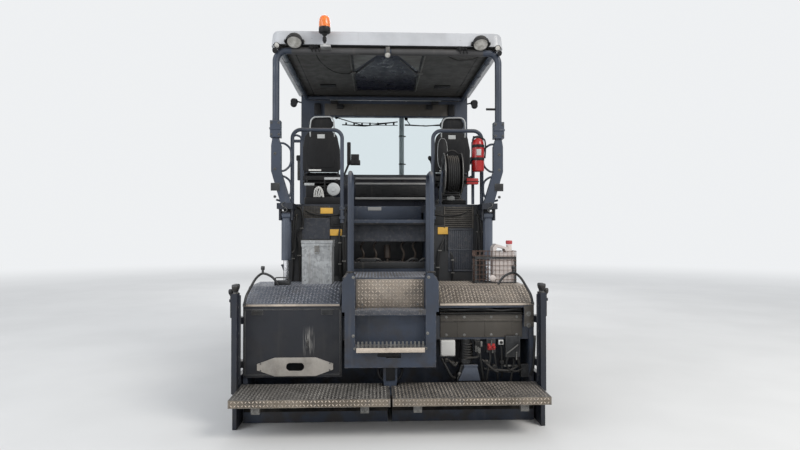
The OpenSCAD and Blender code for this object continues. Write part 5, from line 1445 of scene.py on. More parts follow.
def cabinets():
    """Guards, louvres, plates and clipped hoses on the rear of both cabinets."""
    brown, blue, dark, yellow, steel = shapes(5)
    y = CABINET_REAR
    # Left: fine guard over a perforated panel, with a loose sheet hung in front
    crossed_bars(brown, (-0.893, -0.622), (1.8, 1.935), 0.017, 0.0045)
    crossed_bars(blue, (-0.893, -0.622), (1.588, 1.8), 0.0125, 0.0068)
    blue.block((-0.9, -0.615), (y - 0.006, y), (1.794, 1.806), 0.001)
    for x in (-0.897, -0.618):
        blue.block(about(x, 0.005), (y - 0.006, y), (1.583, 1.94), 0.001)
    yellow.block((-0.711, -0.579), (y - 0.01, y - 0.003), (1.855, 1.916), 0.002)
    yellow.block((-0.61, -0.481), (y - 0.01, y + 0.001), (1.621, 1.689), 0.002)
    dark.block((-0.6, -0.47), (y - 0.022, y + 0.001), (1.715, 1.83), 0.006)
    dark.block((-0.575, -0.5), (y - 0.03, y - 0.02), (1.74, 1.8), 0.004)
    dark.block((-0.556, -0.436), (y - 0.008, y + 0.001), (1.2, 1.555), 0.004)
    blue.block((-0.9, -0.62), (y - 0.01, y + 0.001), (1.075, 1.56), 0.004)
    for z in (1.12, 1.3, 1.5):
        for x in (-0.88, -0.64):
            steel.bolt((x, y - 0.01, z), BACK, 0.007)
    # Right: louvres over a ribbed panel
    for k in range(11):
        z = 1.712 + 0.0205 * k
        brown.block((0.612, 0.912), (y - 0.008, y + 0.001), (z, z + 0.0105), 0.0015)
    for x in (0.608, 0.915):
        brown.block(about(x, 0.006), (y - 0.01, y + 0.001), (1.7, 1.936), 0.001)
    blue.block((0.65, 0.918), (y - 0.004, y + 0.001), (1.237, 1.697), 0.001)
    for k in range(13):
        x = 0.664 + 0.0203 * k
        blue.block(about(x, 0.0045), (y - 0.011, y - 0.003), (1.262, 1.676), 0.002)
    for z in (1.248, 1.468, 1.688):
        blue.block((0.652, 0.916), (y - 0.013, y - 0.003), about(z, 0.007), 0.001)
    yellow.block((0.537, 0.645), (y - 0.01, y + 0.001), (1.636, 1.712), 0.002)
    dark.block((0.475, 0.59), (y - 0.018, y + 0.001), (1.74, 1.88), 0.006)
    # Hoses that run down both cabinets from clamps
    for points, thick in (
        ([(0.61, 1.605), (0.56, 1.48), (0.538, 1.36), (0.534, 1.1)], 0.013),
        ([(0.664, 1.469), (0.69, 1.38), (0.694, 1.241), (0.69, 1.09)], 0.01),
        ([(0.5, 1.74), (0.478, 1.6), (0.486, 1.4), (0.47, 1.1)], 0.011),
        ([(0.955, 1.9), (0.968, 1.7), (0.95, 1.48), (0.96, 1.1)], 0.014),
        ([(1.01, 1.9), (1.02, 1.66), (1.0, 1.4), (1.012, 1.1)], 0.011),
        ([(-0.961, 1.92), (-0.912, 1.895), (-0.892, 1.741), (-0.955, 1.606), (-0.934, 1.547), (-0.931, 1.1)], 0.012),
        ([(-0.475, 1.84), (-0.462, 1.7), (-0.47, 1.5), (-0.455, 1.24), (-0.462, 1.09)], 0.014),
        ([(-0.5, 1.73), (-0.512, 1.62), (-0.5, 1.48), (-0.505, 1.3), (-0.498, 1.1)], 0.01),
        ([(-1.005, 1.9), (-1.015, 1.7), (-0.995, 1.42), (-1.01, 1.1)], 0.013),
    ):
        path = smooth_path([
            (points[0][0], y + 0.012, points[0][1]), *((x, y - 0.022, z) for x, z in points[1:-1]),
            (points[-1][0], y + 0.012, points[-1][1]),
        ], 21)
        dark.tube(path, thick, 10)
        for k in (6, 13):
            c = path[k]
            steel.block((c.x - thick - 0.006, c.x + thick + 0.006), (y - 0.04, y + 0.001), about(c.z, 0.006), 0.002)
    # Loose looms across the top of the niche's sides
    for s in (-1, 1):
        dark.curve([
            (s * 0.44, y + 0.012, 1.915), (s * 0.47, y - 0.016, 1.86), (s * 0.6, y - 0.02, 1.835),
            (s * 0.78, y - 0.018, 1.85), (s * 0.9, y + 0.012, 1.9),
        ], 0.009, 8, count=19)
    brown.piece("cabinet_guards", "beam_paint", "panel", smooth=20)
    blue.piece("cabinet_panels", "cabinet_paint", "panel", smooth=20)
    dark.piece("cabinet_hoses", "hose_rubber", "rubber")
    yellow.piece("cabinet_plates", "yellow_plate", "panel")
    steel.piece("cabinet_clips", "dull_steel", "steel")


def desk():
    """Pale rails over the desk's rear face, and the plates of the niche between the cabinets, with painted shade in
    the niche's opening and under its lip.
    """
    pale, blue, black, mesh = shapes(4)
    for z, y0 in ((2.388, 0.088), (2.312, 0.016)):
        pale.block((-0.4, 0.59), (y0 - 0.012, y0 + 0.03), about(z, 0.013), 0.004)
    pale.block((-0.4, 0.59), (-0.01, 0.022), (2.098, 2.127), 0.004)
    black.block((-0.395, 0.585), (0.002, 0.018), (2.14, 2.285), 0.006)
    for x in (-0.3, -0.08, 0.16, 0.4):
        black.block(about(x, 0.04), (-0.002, 0.006), (2.165, 2.255), 0.004)
    # Kick plate with its blank label, lip, painted shadow under the lip, meshed riser and what shows in the opening
    blue.block((-0.395, 0.395), (-1.186, -1.181), (1.79, 1.954), 0.002)
    pale.block((-0.214, -0.062), (-1.19, -1.185), (1.905, 1.944), 0.001)
    blue.block((-0.418, 0.418), (-1.576, -1.5705), (1.756, 1.792), 0.001)
    # Black strip under the lip: painted shadow
    black.block((-0.418, 0.418), (-1.5735, -1.56), (1.738, 1.758), 0.002)
    crossed_bars(mesh, (-0.405, 0.405), (1.566, 1.726), 0.0142, 0.0076, (-1.4455, -1.4405))
    brown = Shape()
    brown.turned([(0.02, 1.36), (0.034, 1.372), (0.036, 1.5), (0.024, 1.516), (0, 1.517)], at((0.004, -1.28, 0)), 24)
    brown.rod((0.004, -1.28, 1.325), (0.004, -1.28, 1.37), 0.012)
    for x in (-0.28, -0.14, 0.17, 0.3):
        brown.curve([
            (x, -1.3, 1.322), (x + 0.02, -1.33, 1.42), (x - 0.01, -1.3, 1.5), (x + 0.03, -1.2, 1.56),
        ], 0.013, 8, count=13)
    pale.piece("desk_rails", "desk_rail", "panel")
    blue.piece("niche_plates", "frame_paint", "panel")
    black.piece("desk_insets_and_lip_shadow", "black_mould", "panel")
    mesh.piece("niche_riser", "cabinet_paint", "panel", smooth=20)
    dark = Shape()
    # Dark liner over the back wall of the opening: painted shade in the niche; hoses and a box stand in front of it
    dark.block((-0.414, 0.414), (-1.046, -1.034), (1.332, 1.556), 0.002)
    dark.block((-0.41, 0.41), (-1.4465, -1.4405), (1.262, 1.33), 0.003)
    for x in (-0.36, -0.2, 0.22, 0.35):
        dark.curve([
            (x, -1.36, 1.322), (x + 0.05, -1.38, 1.36), (x + 0.11, -1.37, 1.352), (x + 0.14, -1.34, 1.322),
        ], 0.014, 8, count=11)
    dark.block((-0.3, -0.12), (-1.42, -1.36), (1.328, 1.372), 0.008)
    dark.piece("niche_shade_and_hoses", "housing_paint", "panel")
    brown.piece("niche_pipes", "niche_pipe_paint", "steel")


def posts():
    """Flat plates, clamps, grab loops and hooks at the roof's rear posts."""
    blue, steel = shapes(2)
    for s in (-1, 1):
        post = s * POST_X
        for z in (2.65, 2.77):
            for e in (-1, 1):
                steel.bolt((post + e * 0.038, -1.88, z), BACK, 0.009)
        blue.block(about(post, 0.058), (-1.8845, -1.8795), (2.7, 2.722), 0.002)
        for z in (2.46, 2.3, 2.02):
            steel.bolt((s * 1.15, -1.86, z), BACK, 0.01)
        # Grab loops between the post and the guard
        for z0, z1 in ((2.58, 2.28), (2.24, 1.97)):
            out, reach = s * 1.105, s * 1.004
            blue.pipe([
                (out + s * 0.035, -1.835, z0 - 0.02), (out - s * 0.03, -1.8, z0), (reach, -1.745, z0 - 0.05),
                (reach, -1.745, z1 + 0.07), (out - s * 0.03, -1.8, z1), (out + s * 0.035, -1.835, z1 + 0.02),
            ], 0.06, 0.011, 10)
        for z in (2.44, 2.1):
            blue.rod((s * 1.004, -1.745, z), (s * 1.0, -1.69, z), 0.009)
        blue.pipe([
            (s * 0.905, -1.68, 2.6), (s * 0.905, -1.7, 2.655), (s * 0.955, -1.71, 2.675), (s * 1.0, -1.68, 2.66),
        ], 0.02, 0.011, 10)
        # Open hook under the outrigger
        steel.curve([
            (s * 1.052, -1.868, 1.962), (s * 1.078, -1.874, 1.945), (s * 1.066, -1.876, 1.918),
            (s * 1.036, -1.876, 1.905), (s * 1.026, -1.874, 1.88), (s * 1.052, -1.872, 1.862),
            (s * 1.078, -1.872, 1.874),
        ], 0.0065, 8, count=21)
        steel.block(about(post, 0.045), (-1.866, -1.8595), (2.08, 2.16), 0.003)
    blue.piece("post_loops", "frame_paint", "frame")
    steel.piece("post_fasteners", "dark_steel", "steel")


def extinguisher():
    """A red bottle with a black head, held by a strap, and a small red case below it."""
    x, y = EXTINGUISHER
    red, black, pale = shapes(3)
    red.turned([
        (0.05, 2.292), (0.06, 2.298), (0.0625, 2.31), (0.0625, 2.56), (0.058, 2.595), (0.044, 2.625), (0.024, 2.64),
        (0, 2.642),
    ], at((x, y, 0)), 40)
    black.turned([(0.017, 2.63), (0.02, 2.64), (0.02, 2.66), (0, 2.664)], at((x, y, 0)), 20)
    black.block((x - 0.055, x + 0.018), about(y, 0.012), (2.645, 2.663), 0.004)
    black.curve([
        (x + 0.016, y, 2.65), (x + 0.065, y - 0.015, 2.625), (x + 0.074, y - 0.02, 2.54),
        (x + 0.068, y - 0.018, 2.43),
    ], 0.008, 8, count=15)
    for z in (2.405, 2.54):
        black.turned([(0.0645, z), (0.065, z + 0.004), (0.065, z + 0.026), (0.0645, z + 0.03)], at((x, y, 0)), 36)
        black.block(about(x, 0.012), (y - 0.078, y - 0.058), (z + 0.004, z + 0.026), 0.003)
        black.block(about(x, 0.01), (y + 0.055, y + 0.094), (z + 0.004, z + 0.026), 0.002)
    pale.block((x - 0.026, x + 0.022), (y - 0.064, y - 0.06), (2.455, 2.52), 0.001)
    red.block((0.826, 0.952), (-1.765, -1.708), (2.16, 2.226), 0.01)
    black.block((0.82, 0.958), (-1.768, -1.705), (2.186, 2.194), 0.002)
    bottle = red.piece("extinguisher_bottle", "extinguisher_paint", "red")
    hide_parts("extinguisher")
    black.piece("extinguisher_head", "black_mould", "red")
    pale.piece("extinguisher_label", "blank_label", "red")


def can():
    """Wires of the basket, the can's cap and tap, and the toolbox's latch and hinges."""
    wire, cap, white = shapes(3, "extension_right")
    steel, zinc = shapes(2, "extension_left")
    xs, ys, zs = (0.838, 1.237), (-2.212, -2.048), (1.176, 1.405)
    for y in ys:
        for i in range(11):
            x = xs[0] + (xs[1] - xs[0]) * i / 10
            wire.rod((x, y, zs[0] - 0.004), (x, y, 1.478), 0.0026, 6)
        for k in range(7):
            z = 1.2 + k * 0.0455
            wire.rod((xs[0] - 0.004, y - 0.004, z), (xs[1] + 0.004, y - 0.004, z), 0.0026, 6)
    for x in xs:
        for i in range(1, 4):
            y = ys[0] + (ys[1] - ys[0]) * i / 4
            wire.rod((x, y, zs[0] - 0.004), (x, y, 1.478), 0.0026, 6)
        for k in range(7):
            z = 1.2 + k * 0.0455
            wire.rod((x, ys[0] - 0.004, z), (x, ys[1] + 0.004, z), 0.0026, 6)
    cap.turned([(0.0285, 1.54), (0.03, 1.546), (0.03, 1.572), (0.026, 1.577), (0, 1.577)], at((1.187, -2.13, 0)), 24)
    for i in range(18):
        a = 2 * math.pi * i / 18
        cap.rod(
            (1.187 + 0.03 * math.cos(a), -2.13 + 0.03 * math.sin(a), 1.547),
            (1.187 + 0.03 * math.cos(a), -2.13 + 0.03 * math.sin(a), 1.571), 0.0018, 6,
        )
    white.turned([
        (0.026, 0), (0.03, 0.004), (0.03, 0.014), (0.024, 0.018), (0, 0.018),
    ], at((1.006, -2.216, 1.214), BACK), 24)
    for z in (1.24, 1.33, 1.42):
        white.block((1.03, 1.21), (-2.2025, -2.1995), about(z, 0.007), 0.001)
    # Toolbox: folded rim, latch, hinges and rivets
    for x in (-0.832, -0.543):
        zinc.block(about(x, 0.003), (-2.2225, -1.9375), (1.515, 1.552), 0.001)
    zinc.block((-0.835, -0.54), (-2.2235, -2.2195), (1.518, 1.552), 0.001)
    steel.block((-0.712, -0.664), (-2.228, -2.2195), (1.47, 1.53), 0.003)
    steel.pipe([
        (-0.706, -2.226, 1.5), (-0.706, -2.236, 1.452), (-0.67, -2.236, 1.452), (-0.67, -2.226, 1.5),
    ], 0.01, 0.0035, 8)
    for x in (-0.8, -0.575):
        for z in (1.2, 1.49):
            steel.turned([(0.006, 0), (0.005, 0.003), (0, 0.0035)], at((x, -2.2205, z), BACK), 12)
    wire.piece("basket_wires", "wire_rust", "steel", smooth=60)
    cap.piece("can_cap", "cap_red", "can")
    white.piece("can_ribs", "can_polythene", "can")
    steel.piece("toolbox_latch", "dull_steel", "steel")
    zinc.piece("toolbox_rim", "toolbox_zinc", "galv")


class PAVER_OT_station(Operator):
    """Fits the cabinets, desk rails, riser plates, grab loops, extinguisher, can and toolbox"""

    bl_idname = "paver.station"
    bl_label = "Operator station"

    def execute(self, context):
        cabinets()
        desk()
        posts()
        extinguisher()
        can()
        return {"FINISHED"}


DOOR_FACE, CABINET_FACE, ARM_FACE = 1.1355, 1.1005, 1.2655
TRACK_X, FRAME_HALF, HUB_HALF = 0.9825, 0.095, 0.0605
SPROCKET = (-1.047, 0.373)


def doors():
    """Handles, hinges, seals and blank plates of the side doors, and the louvred panels behind them."""
    for s, side in SIDES:
        dark, bright, pale = shapes(3, f"door_{side}")
        face = s * DOOR_FACE
        for z in (1.25, 1.5, 1.78):
            dark.rod((s * 1.128, 0.446, z - 0.05), (s * 1.128, 0.446, z + 0.05), 0.01)
            dark.block(between(face, s * 1.14), (0.47, 0.56), about(z, 0.022), 0.002)
            for y in (0.49, 0.54):
                bright.bolt((s * 1.14, y, z), (s, 0, 0), 0.006)
        dark.block(between(face, s * 1.1415), (1.165, 1.235), (1.44, 1.58), 0.006)
        dark.pipe([
            (s * 1.1415, 1.2, 1.455), (s * 1.17, 1.2, 1.465), (s * 1.17, 1.2, 1.555), (s * 1.1415, 1.2, 1.565),
        ], 0.012, 0.008, 10)
        bright.turned(
            [(0.013, 0), (0.013, 0.004), (0.008, 0.007), (0, 0.007)], at((s * 1.1415, 1.2, 1.41), (s, 0, 0)), 20,
        )
        for y0, y1, z0, z1 in (
            (0.462, 1.252, 1.086, 1.098), (0.462, 1.252, 1.922, 1.934), (0.462, 0.474, 1.098, 1.922),
            (1.24, 1.252, 1.098, 1.922),
        ):
            dark.block(between(face - s * 0.001, s * 1.1375), (y0, y1), (z0, z1), 0.001)
        pale.block(between(face, s * 1.137), (0.62, 0.76), (1.66, 1.73), 0.001)
        for y in (0.5, 0.68, 0.86, 1.04, 1.22):
            bright.bolt((face, y, 1.112), (s, 0, 0), 0.006)
        dark.piece(f"door_fittings_{side}", "black_mould", "frame")
        bright.piece(f"door_fasteners_{side}", "dull_steel", "frame")
        pale.piece(f"door_plate_{side}", "blank_label", "frame")
        # Louvred panel of the cabinet, with its bolts and grab handle
        panel, outer = Shape(), s * CABINET_FACE
        for z in (1.2, 1.5, 1.78):
            for y in (-1.5, -0.1):
                panel.bolt((outer, y, z), (s, 0, 0), 0.009)
        panel.block(between(outer, s * 1.106), (-1.3, -0.4), (1.25, 1.8), 0.004)
        for k in range(9):
            z = 1.32 + k * 0.048
            panel.block(between(s * 1.1055, s * 1.111), (-1.22, -0.72), (z, z + 0.02), 0.002)
        panel.pipe([
            (s * 1.106, -0.56, 1.38), (s * 1.136, -0.56, 1.4), (s * 1.136, -0.56, 1.62), (s * 1.106, -0.56, 1.64),
        ], 0.02, 0.009, 10)
        panel.piece(f"cabinet_door_{side}", "cabinet_paint", "panel")


def hood():
    """Handles, hinge straps and studs of the engine hood, and the exhaust's clamps."""
    dark, steel = shapes(2, "hood")
    for x in (-0.8, 0.8):
        dark.pipe([
            (x - 0.07, 0.47, 2.094), (x - 0.07, 0.47, 2.128), (x + 0.07, 0.47, 2.128), (x + 0.07, 0.47, 2.094),
        ], 0.015, 0.008, 10)
    for x in (-0.82, 0.0, 0.82):
        dark.block(about(x, 0.035), (1.225, 1.3), (2.094, 2.101), 0.002)
        for e in (-1, 1):
            steel.bolt((x + e * 0.02, 1.25, 2.101), UP, 0.006)
    for x in (-0.95, 0.95):
        for y in (0.42, 0.8, 1.18):
            steel.turned([(0.013, 2.0945), (0.013, 2.099), (0, 2.101)], at((x, y, 0)), 16)
    dark.piece("hood_fittings", "black_mould", "frame")
    steel.piece("hood_fasteners", "dull_steel", "frame")
    clamp = Shape()
    for z in (2.2, 2.62, 3.02):
        clamp.turned([
            (0.0352, z), (0.04, z + 0.002), (0.04, z + 0.02), (0.0352, z + 0.022),
        ], at((0.244, 0.49, 0)), 28)
        clamp.block((0.278, 0.304), (0.482, 0.498), (z + 0.003, z + 0.019), 0.002)
    clamp.piece("exhaust_clamps", "dull_steel", "galv")


def tracks():
    """Bolts along the track frames, and the ring of bolts on each sprocket's hub."""
    bolts = Shape()
    for s in (-1, 1):
        out = s * (TRACK_X + FRAME_HALF)
        for k in range(14):
            bolts.bolt((out, -0.55 + k * 0.125, 0.305), (s, 0, 0), 0.008)
        hub = s * (TRACK_X + HUB_HALF)
        y, z = SPROCKET
        for k in range(12):
            a = 2 * math.pi * k / 12
            bolts.bolt((hub, y + 0.15 * math.cos(a), z + 0.15 * math.sin(a)), (s, 0, 0), 0.01)
    bolts.piece("track_bolts", "dull_steel", "frame")


def arms():
    """Bolts, pin caps, hoses and their clips on the tow arms."""
    for s, side in SIDES:
        bolts, dark = shapes(2, "screed")
        face = s * ARM_FACE
        for y, z in (
            (0.86, 0.62), (0.94, 0.62), (0.86, 0.5), (0.94, 0.5), (-1.86, 0.7), (-1.86, 0.6), (-1.86, 0.46),
            (-1.86, 0.36), (-1.3, 0.56), (-0.6, 0.56),
        ):
            bolts.bolt((face, y, z), (s, 0, 0), 0.012)
        bolts.turned([
            (0.07, 0), (0.07, 0.006), (0.052, 0.012), (0.03, 0.014), (0, 0.014),
        ], at((face, 0.9, 0.56), (s, 0, 0)), 32)
        for k in range(3):
            dark.curve([
                (s * (1.175 + 0.024 * k), 0.62, 0.655), (s * (1.178 + 0.024 * k), 0.3, 0.675),
                (s * (1.176 + 0.024 * k), -0.4, 0.68), (s * (1.178 + 0.024 * k), -1.1, 0.69),
                (s * (1.175 + 0.024 * k), -1.42, 0.705),
            ], 0.0095, 8, count=21)
        for y in (0.3, -0.2, -0.7, -1.2):
            dark.block(between(s * 1.168, s * 1.236), about(y, 0.014), (0.655, 0.7), 0.003)
        bolts.piece(f"arm_bolts_{side}", "dull_steel", "frame")
        dark.piece(f"arm_hoses_{side}", "hose_rubber", "rubber")


def hopper():
    """Bolts of the push beam, and the plough bolts and rim bolts of the wings."""
    beam = Shape()
    for x in (-0.8, -0.4, 0.0, 0.4, 0.8):
        for z in (0.46, 0.55):
            beam.bolt((x, 3.0155, z), AHEAD, 0.012)
    for s in (-1, 1):
        for e in (0.47, 0.91):
            beam.bolt((s * e, 3.13, 0.52), (s if e > 0.5 else -s, 0, 0), 0.014)
    beam.piece("push_beam_bolts", "dull_steel", "frame")
    for s, side in SIDES:
        wear, flap = shapes(2, f"wing_{side}")
        hinge, far = Vector((s * 0.715, 0, 0.775)), Vector((s * 1.49, 0, 0.915))
        for k in range(6):
            y = 1.52 + 0.25 * k
            for t in (0.12, 0.42, 0.72, 0.95):
                p = hinge.lerp(far, t)
                wear.turned([(0.013, -0.004), (0.013, 0.0015), (0, 0.0015)], at((p.x, y, p.z), (-s * 0.17, 0, 1)), 12)
        wear.piece(f"wing_bolts_{side}", "mix_worn_steel", "frame")
        for y in (1.52, 1.88, 2.24, 2.6, 2.8):
            flap.bolt((s * 1.6015, y, 1.085), (s, 0, 0), 0.008)
        flap.piece(f"wing_rim_bolts_{side}", "dull_steel", "frame")


class PAVER_OT_flanks(Operator):
    """Fits the sides, the front and the top: handles, latches, hinges, bolts and hoses"""

    bl_idname = "paver.flanks"
    bl_label = "Flanks, front and hopper"

    def execute(self, context):
        doors()
        hood()
        tracks()
        arms()
        hopper()
        return {"FINISHED"}


REEL_X, REEL_Y, REEL_Z = (0.59, 0.775), -1.7, 2.275


class PAVER_OT_reel(Operator):
    """Winds the wash hose on its reel"""

    bl_idname = "paver.reel"
    bl_label = "Hose reel"

    def execute(self, context):
        drum, bright = shapes(2, "hose_reel")
        turn = at((0, REEL_Y, REEL_Z), (1, 0, 0))
        low, high = REEL_X
        for x, out in ((low, -1), (high, 1)):
            inner, outer = (x - 0.003, x + 0.008) if out < 0 else (x - 0.008, x + 0.003)
            drum.turned([(0.024, inner), (0.15, inner), (0.214, x - 0.004), (0.2185, x), (0.214, x + 0.004),
                         (0.15, outer), (0.024, outer)], turn, 48)
            for k in range(8):
                a = 2 * math.pi * k / 8
                c, s = math.cos(a), math.sin(a)
                drum.tube([
                    (x + out * 0.004, REEL_Y + r * c, REEL_Z + r * s)
                    for r in (0.05, 0.1, 0.15, 0.205)
                ], 0.007, 8)
        drum.rod((low + 0.004, REEL_Y, REEL_Z), (high - 0.004, REEL_Y, REEL_Z), 0.15, 40)
        for x in (low, high - 0.006):
            bright.ring(0.2145, 0.0055, at((x, REEL_Y, REEL_Z), (1, 0, 0)), 56, 8)
        piece = drum.piece("reel_drum", "black_mould", "steel")
        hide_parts("hose_reel")
        bright.piece("reel_rims", "dull_steel", "steel")
        wound = Shape("hose_reel")
        for radius, turns, start in ((0.1615, 7, 0.0), (0.183, 6, 0.5)):
            points = []
            steps = 36
            first, last = low + 0.016 + start * 0.022, high - 0.022 - start * 0.022
            for i in range(turns * steps + 1):
                a = 2 * math.pi * i / steps
                x = first + (last - first) * i / (turns * steps)
                points.append((x, REEL_Y + radius * math.cos(a), REEL_Z + radius * math.sin(a)))
            wound.tube(points, 0.0108, 8)
        wound.piece("reel_hose", "hose_rubber", "rubber", smooth=60)
        return {"FINISHED"}


BAY_BACK, COVER_FACE, STAIR_FACE = -2.66, -2.711, -2.871
GATE_FACE, SCREW_X, SCREW_Y = 1.336, 1.351, -2.805


def gate(s, side):
    """Rods, bolts, flange and domed nuts of one end gate."""
    dark, bright, flange = shapes(3, f"extension_{side}")
    face, screw = s * GATE_FACE, s * SCREW_X
    # Bent rod that rises from the gate to the walkway, and its stub
    dark.pipe([
        (s * 1.262, -2.716, 1.02), (s * 1.252, -2.705, 1.1), (s * 1.205, -2.52, 1.245), (s * 1.165, -2.4, 1.288),
        (s * 1.075, -2.37, 1.242), (s * 1.03, -2.36, 1.166),
    ], 0.06, 0.011, 12)
    dark.rod((s * 1.165, -2.4, 1.284), (s * 1.165, -2.4, 1.345), 0.011)
    dark.turned([
        (0.016, 0), (0.018, 0.01), (0.018, 0.03), (0.014, 0.036), (0, 0.036),
    ], at((s * 1.165, -2.4, 1.31)), 18)
    # Flange at the front of the gate, and the second screw rod beside it
    lo, hi = between(s * 1.272, s * 1.334)
    flange.block((lo, hi), (-2.803, -2.792), (0.362, 1.122), 0.003)
    for z in (0.42, 0.6, 0.8, 1.02):
        bright.bolt((s * 1.302, -2.803, z), BACK, 0.01)
    flange.block(between(s * 1.3, s * 1.362), (-2.84, -2.765), (1.066, 1.092), 0.004)
    dark.rod((screw, SCREW_Y, 0.93), (screw, SCREW_Y, 1.135), 0.01)
    dark.turned([
        (0.012, 1.118), (0.022, 1.136), (0.0245, 1.148), (0.0245, 1.164), (0.018, 1.174), (0, 1.176),
    ], at((screw, SCREW_Y, 0)), 24)
    # Bolts, domed nuts and catch on the outer face of the gate
    for z in (0.5, 0.63, 0.96, 1.08):
        bright.bolt((face, -2.8, z), (s, 0, 0), 0.012)
    for y in (-2.85, -2.79):
        dark.turned([
            (0.012, 1.15), (0.024, 1.178), (0.0275, 1.192), (0.0275, 1.208), (0.02, 1.217), (0, 1.219),
        ], at((s * 1.31, y, 0)), 28)
        bright.turned([(0.0165, 1.141), (0.0165, 1.15), (0, 1.15)], at((s * 1.31, y, 0)), 20)
    dark.block(between(s * 1.334, s * 1.352), (-2.84, -2.8), (0.945, 0.99), 0.006)
    for y, z in ((-2.74, 0.51), (-2.68, 0.51), (-2.74, 0.89), (-2.68, 0.89)):
        bright.bolt((s * 1.3255, y, z), (s, 0, 0), 0.011)
    # Vertical guide and its wear strip along the gate's shoe
    dark.block(between(s * 1.326, face), (-2.6, -1.9), (0.335, 0.35), 0.003)
    for k in range(5):
        bright.bolt((face, -2.5 + k * 0.135, 0.342), (s, 0, 0), 0.008)
    dark.piece(f"gate_rods_{side}", "dark_steel", "panel")
    bright.piece(f"gate_bolts_{side}", "dull_steel", "steel")
    flange.piece(f"gate_flange_{side}", "panel_paint", "panel")


def cover():
    """Latch, hinges and frame strips of the left cover, and the low box on its walkway."""
    bright, dark = shapes(2, "extension_left")
    # Latch with its handle, hinges, and bolts of the bright plate
    bright.turned([(0.013, 0), (0.013, 0.005), (0.009, 0.012), (0, 0.012)], at((-0.721, -2.712, 0.714), BACK), 24)
    dark.block((-0.734, -0.708), (-2.722, COVER_FACE), (0.65, 0.702), 0.004)
    dark.block((-0.727, -0.715), (-2.736, -2.72), (0.642, 0.664), 0.003)
    for e in (-1, 1):
        for z in (0.46, 0.52):
            bright.turned([(0.008, 0), (0.007, 0.004), (0, 0.005)], at((-0.823 + e * 0.298, -2.72, z), BACK), 16)
    for z in (0.9865, 0.42):
        dark.block((-1.262, -0.43), (-2.7145, COVER_FACE), about(z, 0.006), 0.001)
    for x in (-1.258, -0.434):
        dark.block(about(x, 0.006), (-2.7145, COVER_FACE), (0.414, 0.992), 0.001)
    for x in (-1.15, -0.55):
        dark.block(about(x, 0.05), (-2.718, COVER_FACE), (0.94, 0.98), 0.003)
        dark.rod((x - 0.045, -2.719, 0.982), (x + 0.045, -2.719, 0.982), 0.006, 12)
    bright.piece("cover_latch", "dull_steel", "panel")
    dark.piece("cover_hinges", "dark_steel", "panel")
    # Low box on the left walkway
    box = Shape("extension_left")
    box.block((-1.072, -0.93), (-2.34, -2.24), (1.1635, 1.205), 0.008)
    box.pipe([
        (-1.06, -2.34, 1.2), (-1.06, -2.345, 1.235), (-0.94, -2.345, 1.235), (-0.94, -2.34, 1.2),
    ], 0.015, 0.006, 10)
    box.piece("walkway_box", "dark_steel", "frame")


def stair():
    """Bolts, post feet, a black plate painted as the shaded inside of a slot, and cables of the stair."""
    bright, dark = shapes(2, "screed")
    for x, z in ((-0.315, 1.275), (0.325, 1.275), (-0.315, 0.78), (0.315, 0.8), (-0.3, 0.672), (0.3, 0.672)):
        bright.bolt((x, STAIR_FACE, z), BACK, 0.009)
    for x in (-0.345, 0.355):
        for y in (-2.84, -2.44):
            z = 1.312 if y < -2.7 else 1.263
            dark.turned([(0.034, 0), (0.034, 0.006), (0.024, 0.014), (0, 0.014)], at((x, y, z)), 24)
    for x in (-0.24, 0.24):
        bright.bolt((x, -2.741, 1.03), BACK, 0.006)
    bright.piece("stair_bolts", "dull_steel", "frame")
    # Black plate in the shape of a slot: painted shade of the slot's inside
    slot = squared_oval((-0.02, 0.618), (0.092, 0.018), (0.35, 0.5), 28)
    dark.plate(slot, (0.0, 0.0035), 0.001, at((0, -2.869, 0)) @ STANDING)
    dark.turned([(0.013, 0.9995), (0.013, 1.001), (0, 1.001)], at((-0.237, -2.8, 0)), 20)
    # Rear sill between the walkways and the stair, and cables under the bumper
    dark.block((-0.036, 0.04), (-2.806, -2.792), (0.385, 0.5), 0.004)
    for e in (-1, 1):
        dark.pipe([
            (e * 0.1, -2.735, 0.508), (e * 0.105, -2.76, 0.45), (e * 0.085, -2.765, 0.4), (e * 0.062, -2.765, 0.385),
        ], 0.03, 0.012, 10)
    dark.piece("stair_trim", "black_mould", "frame")


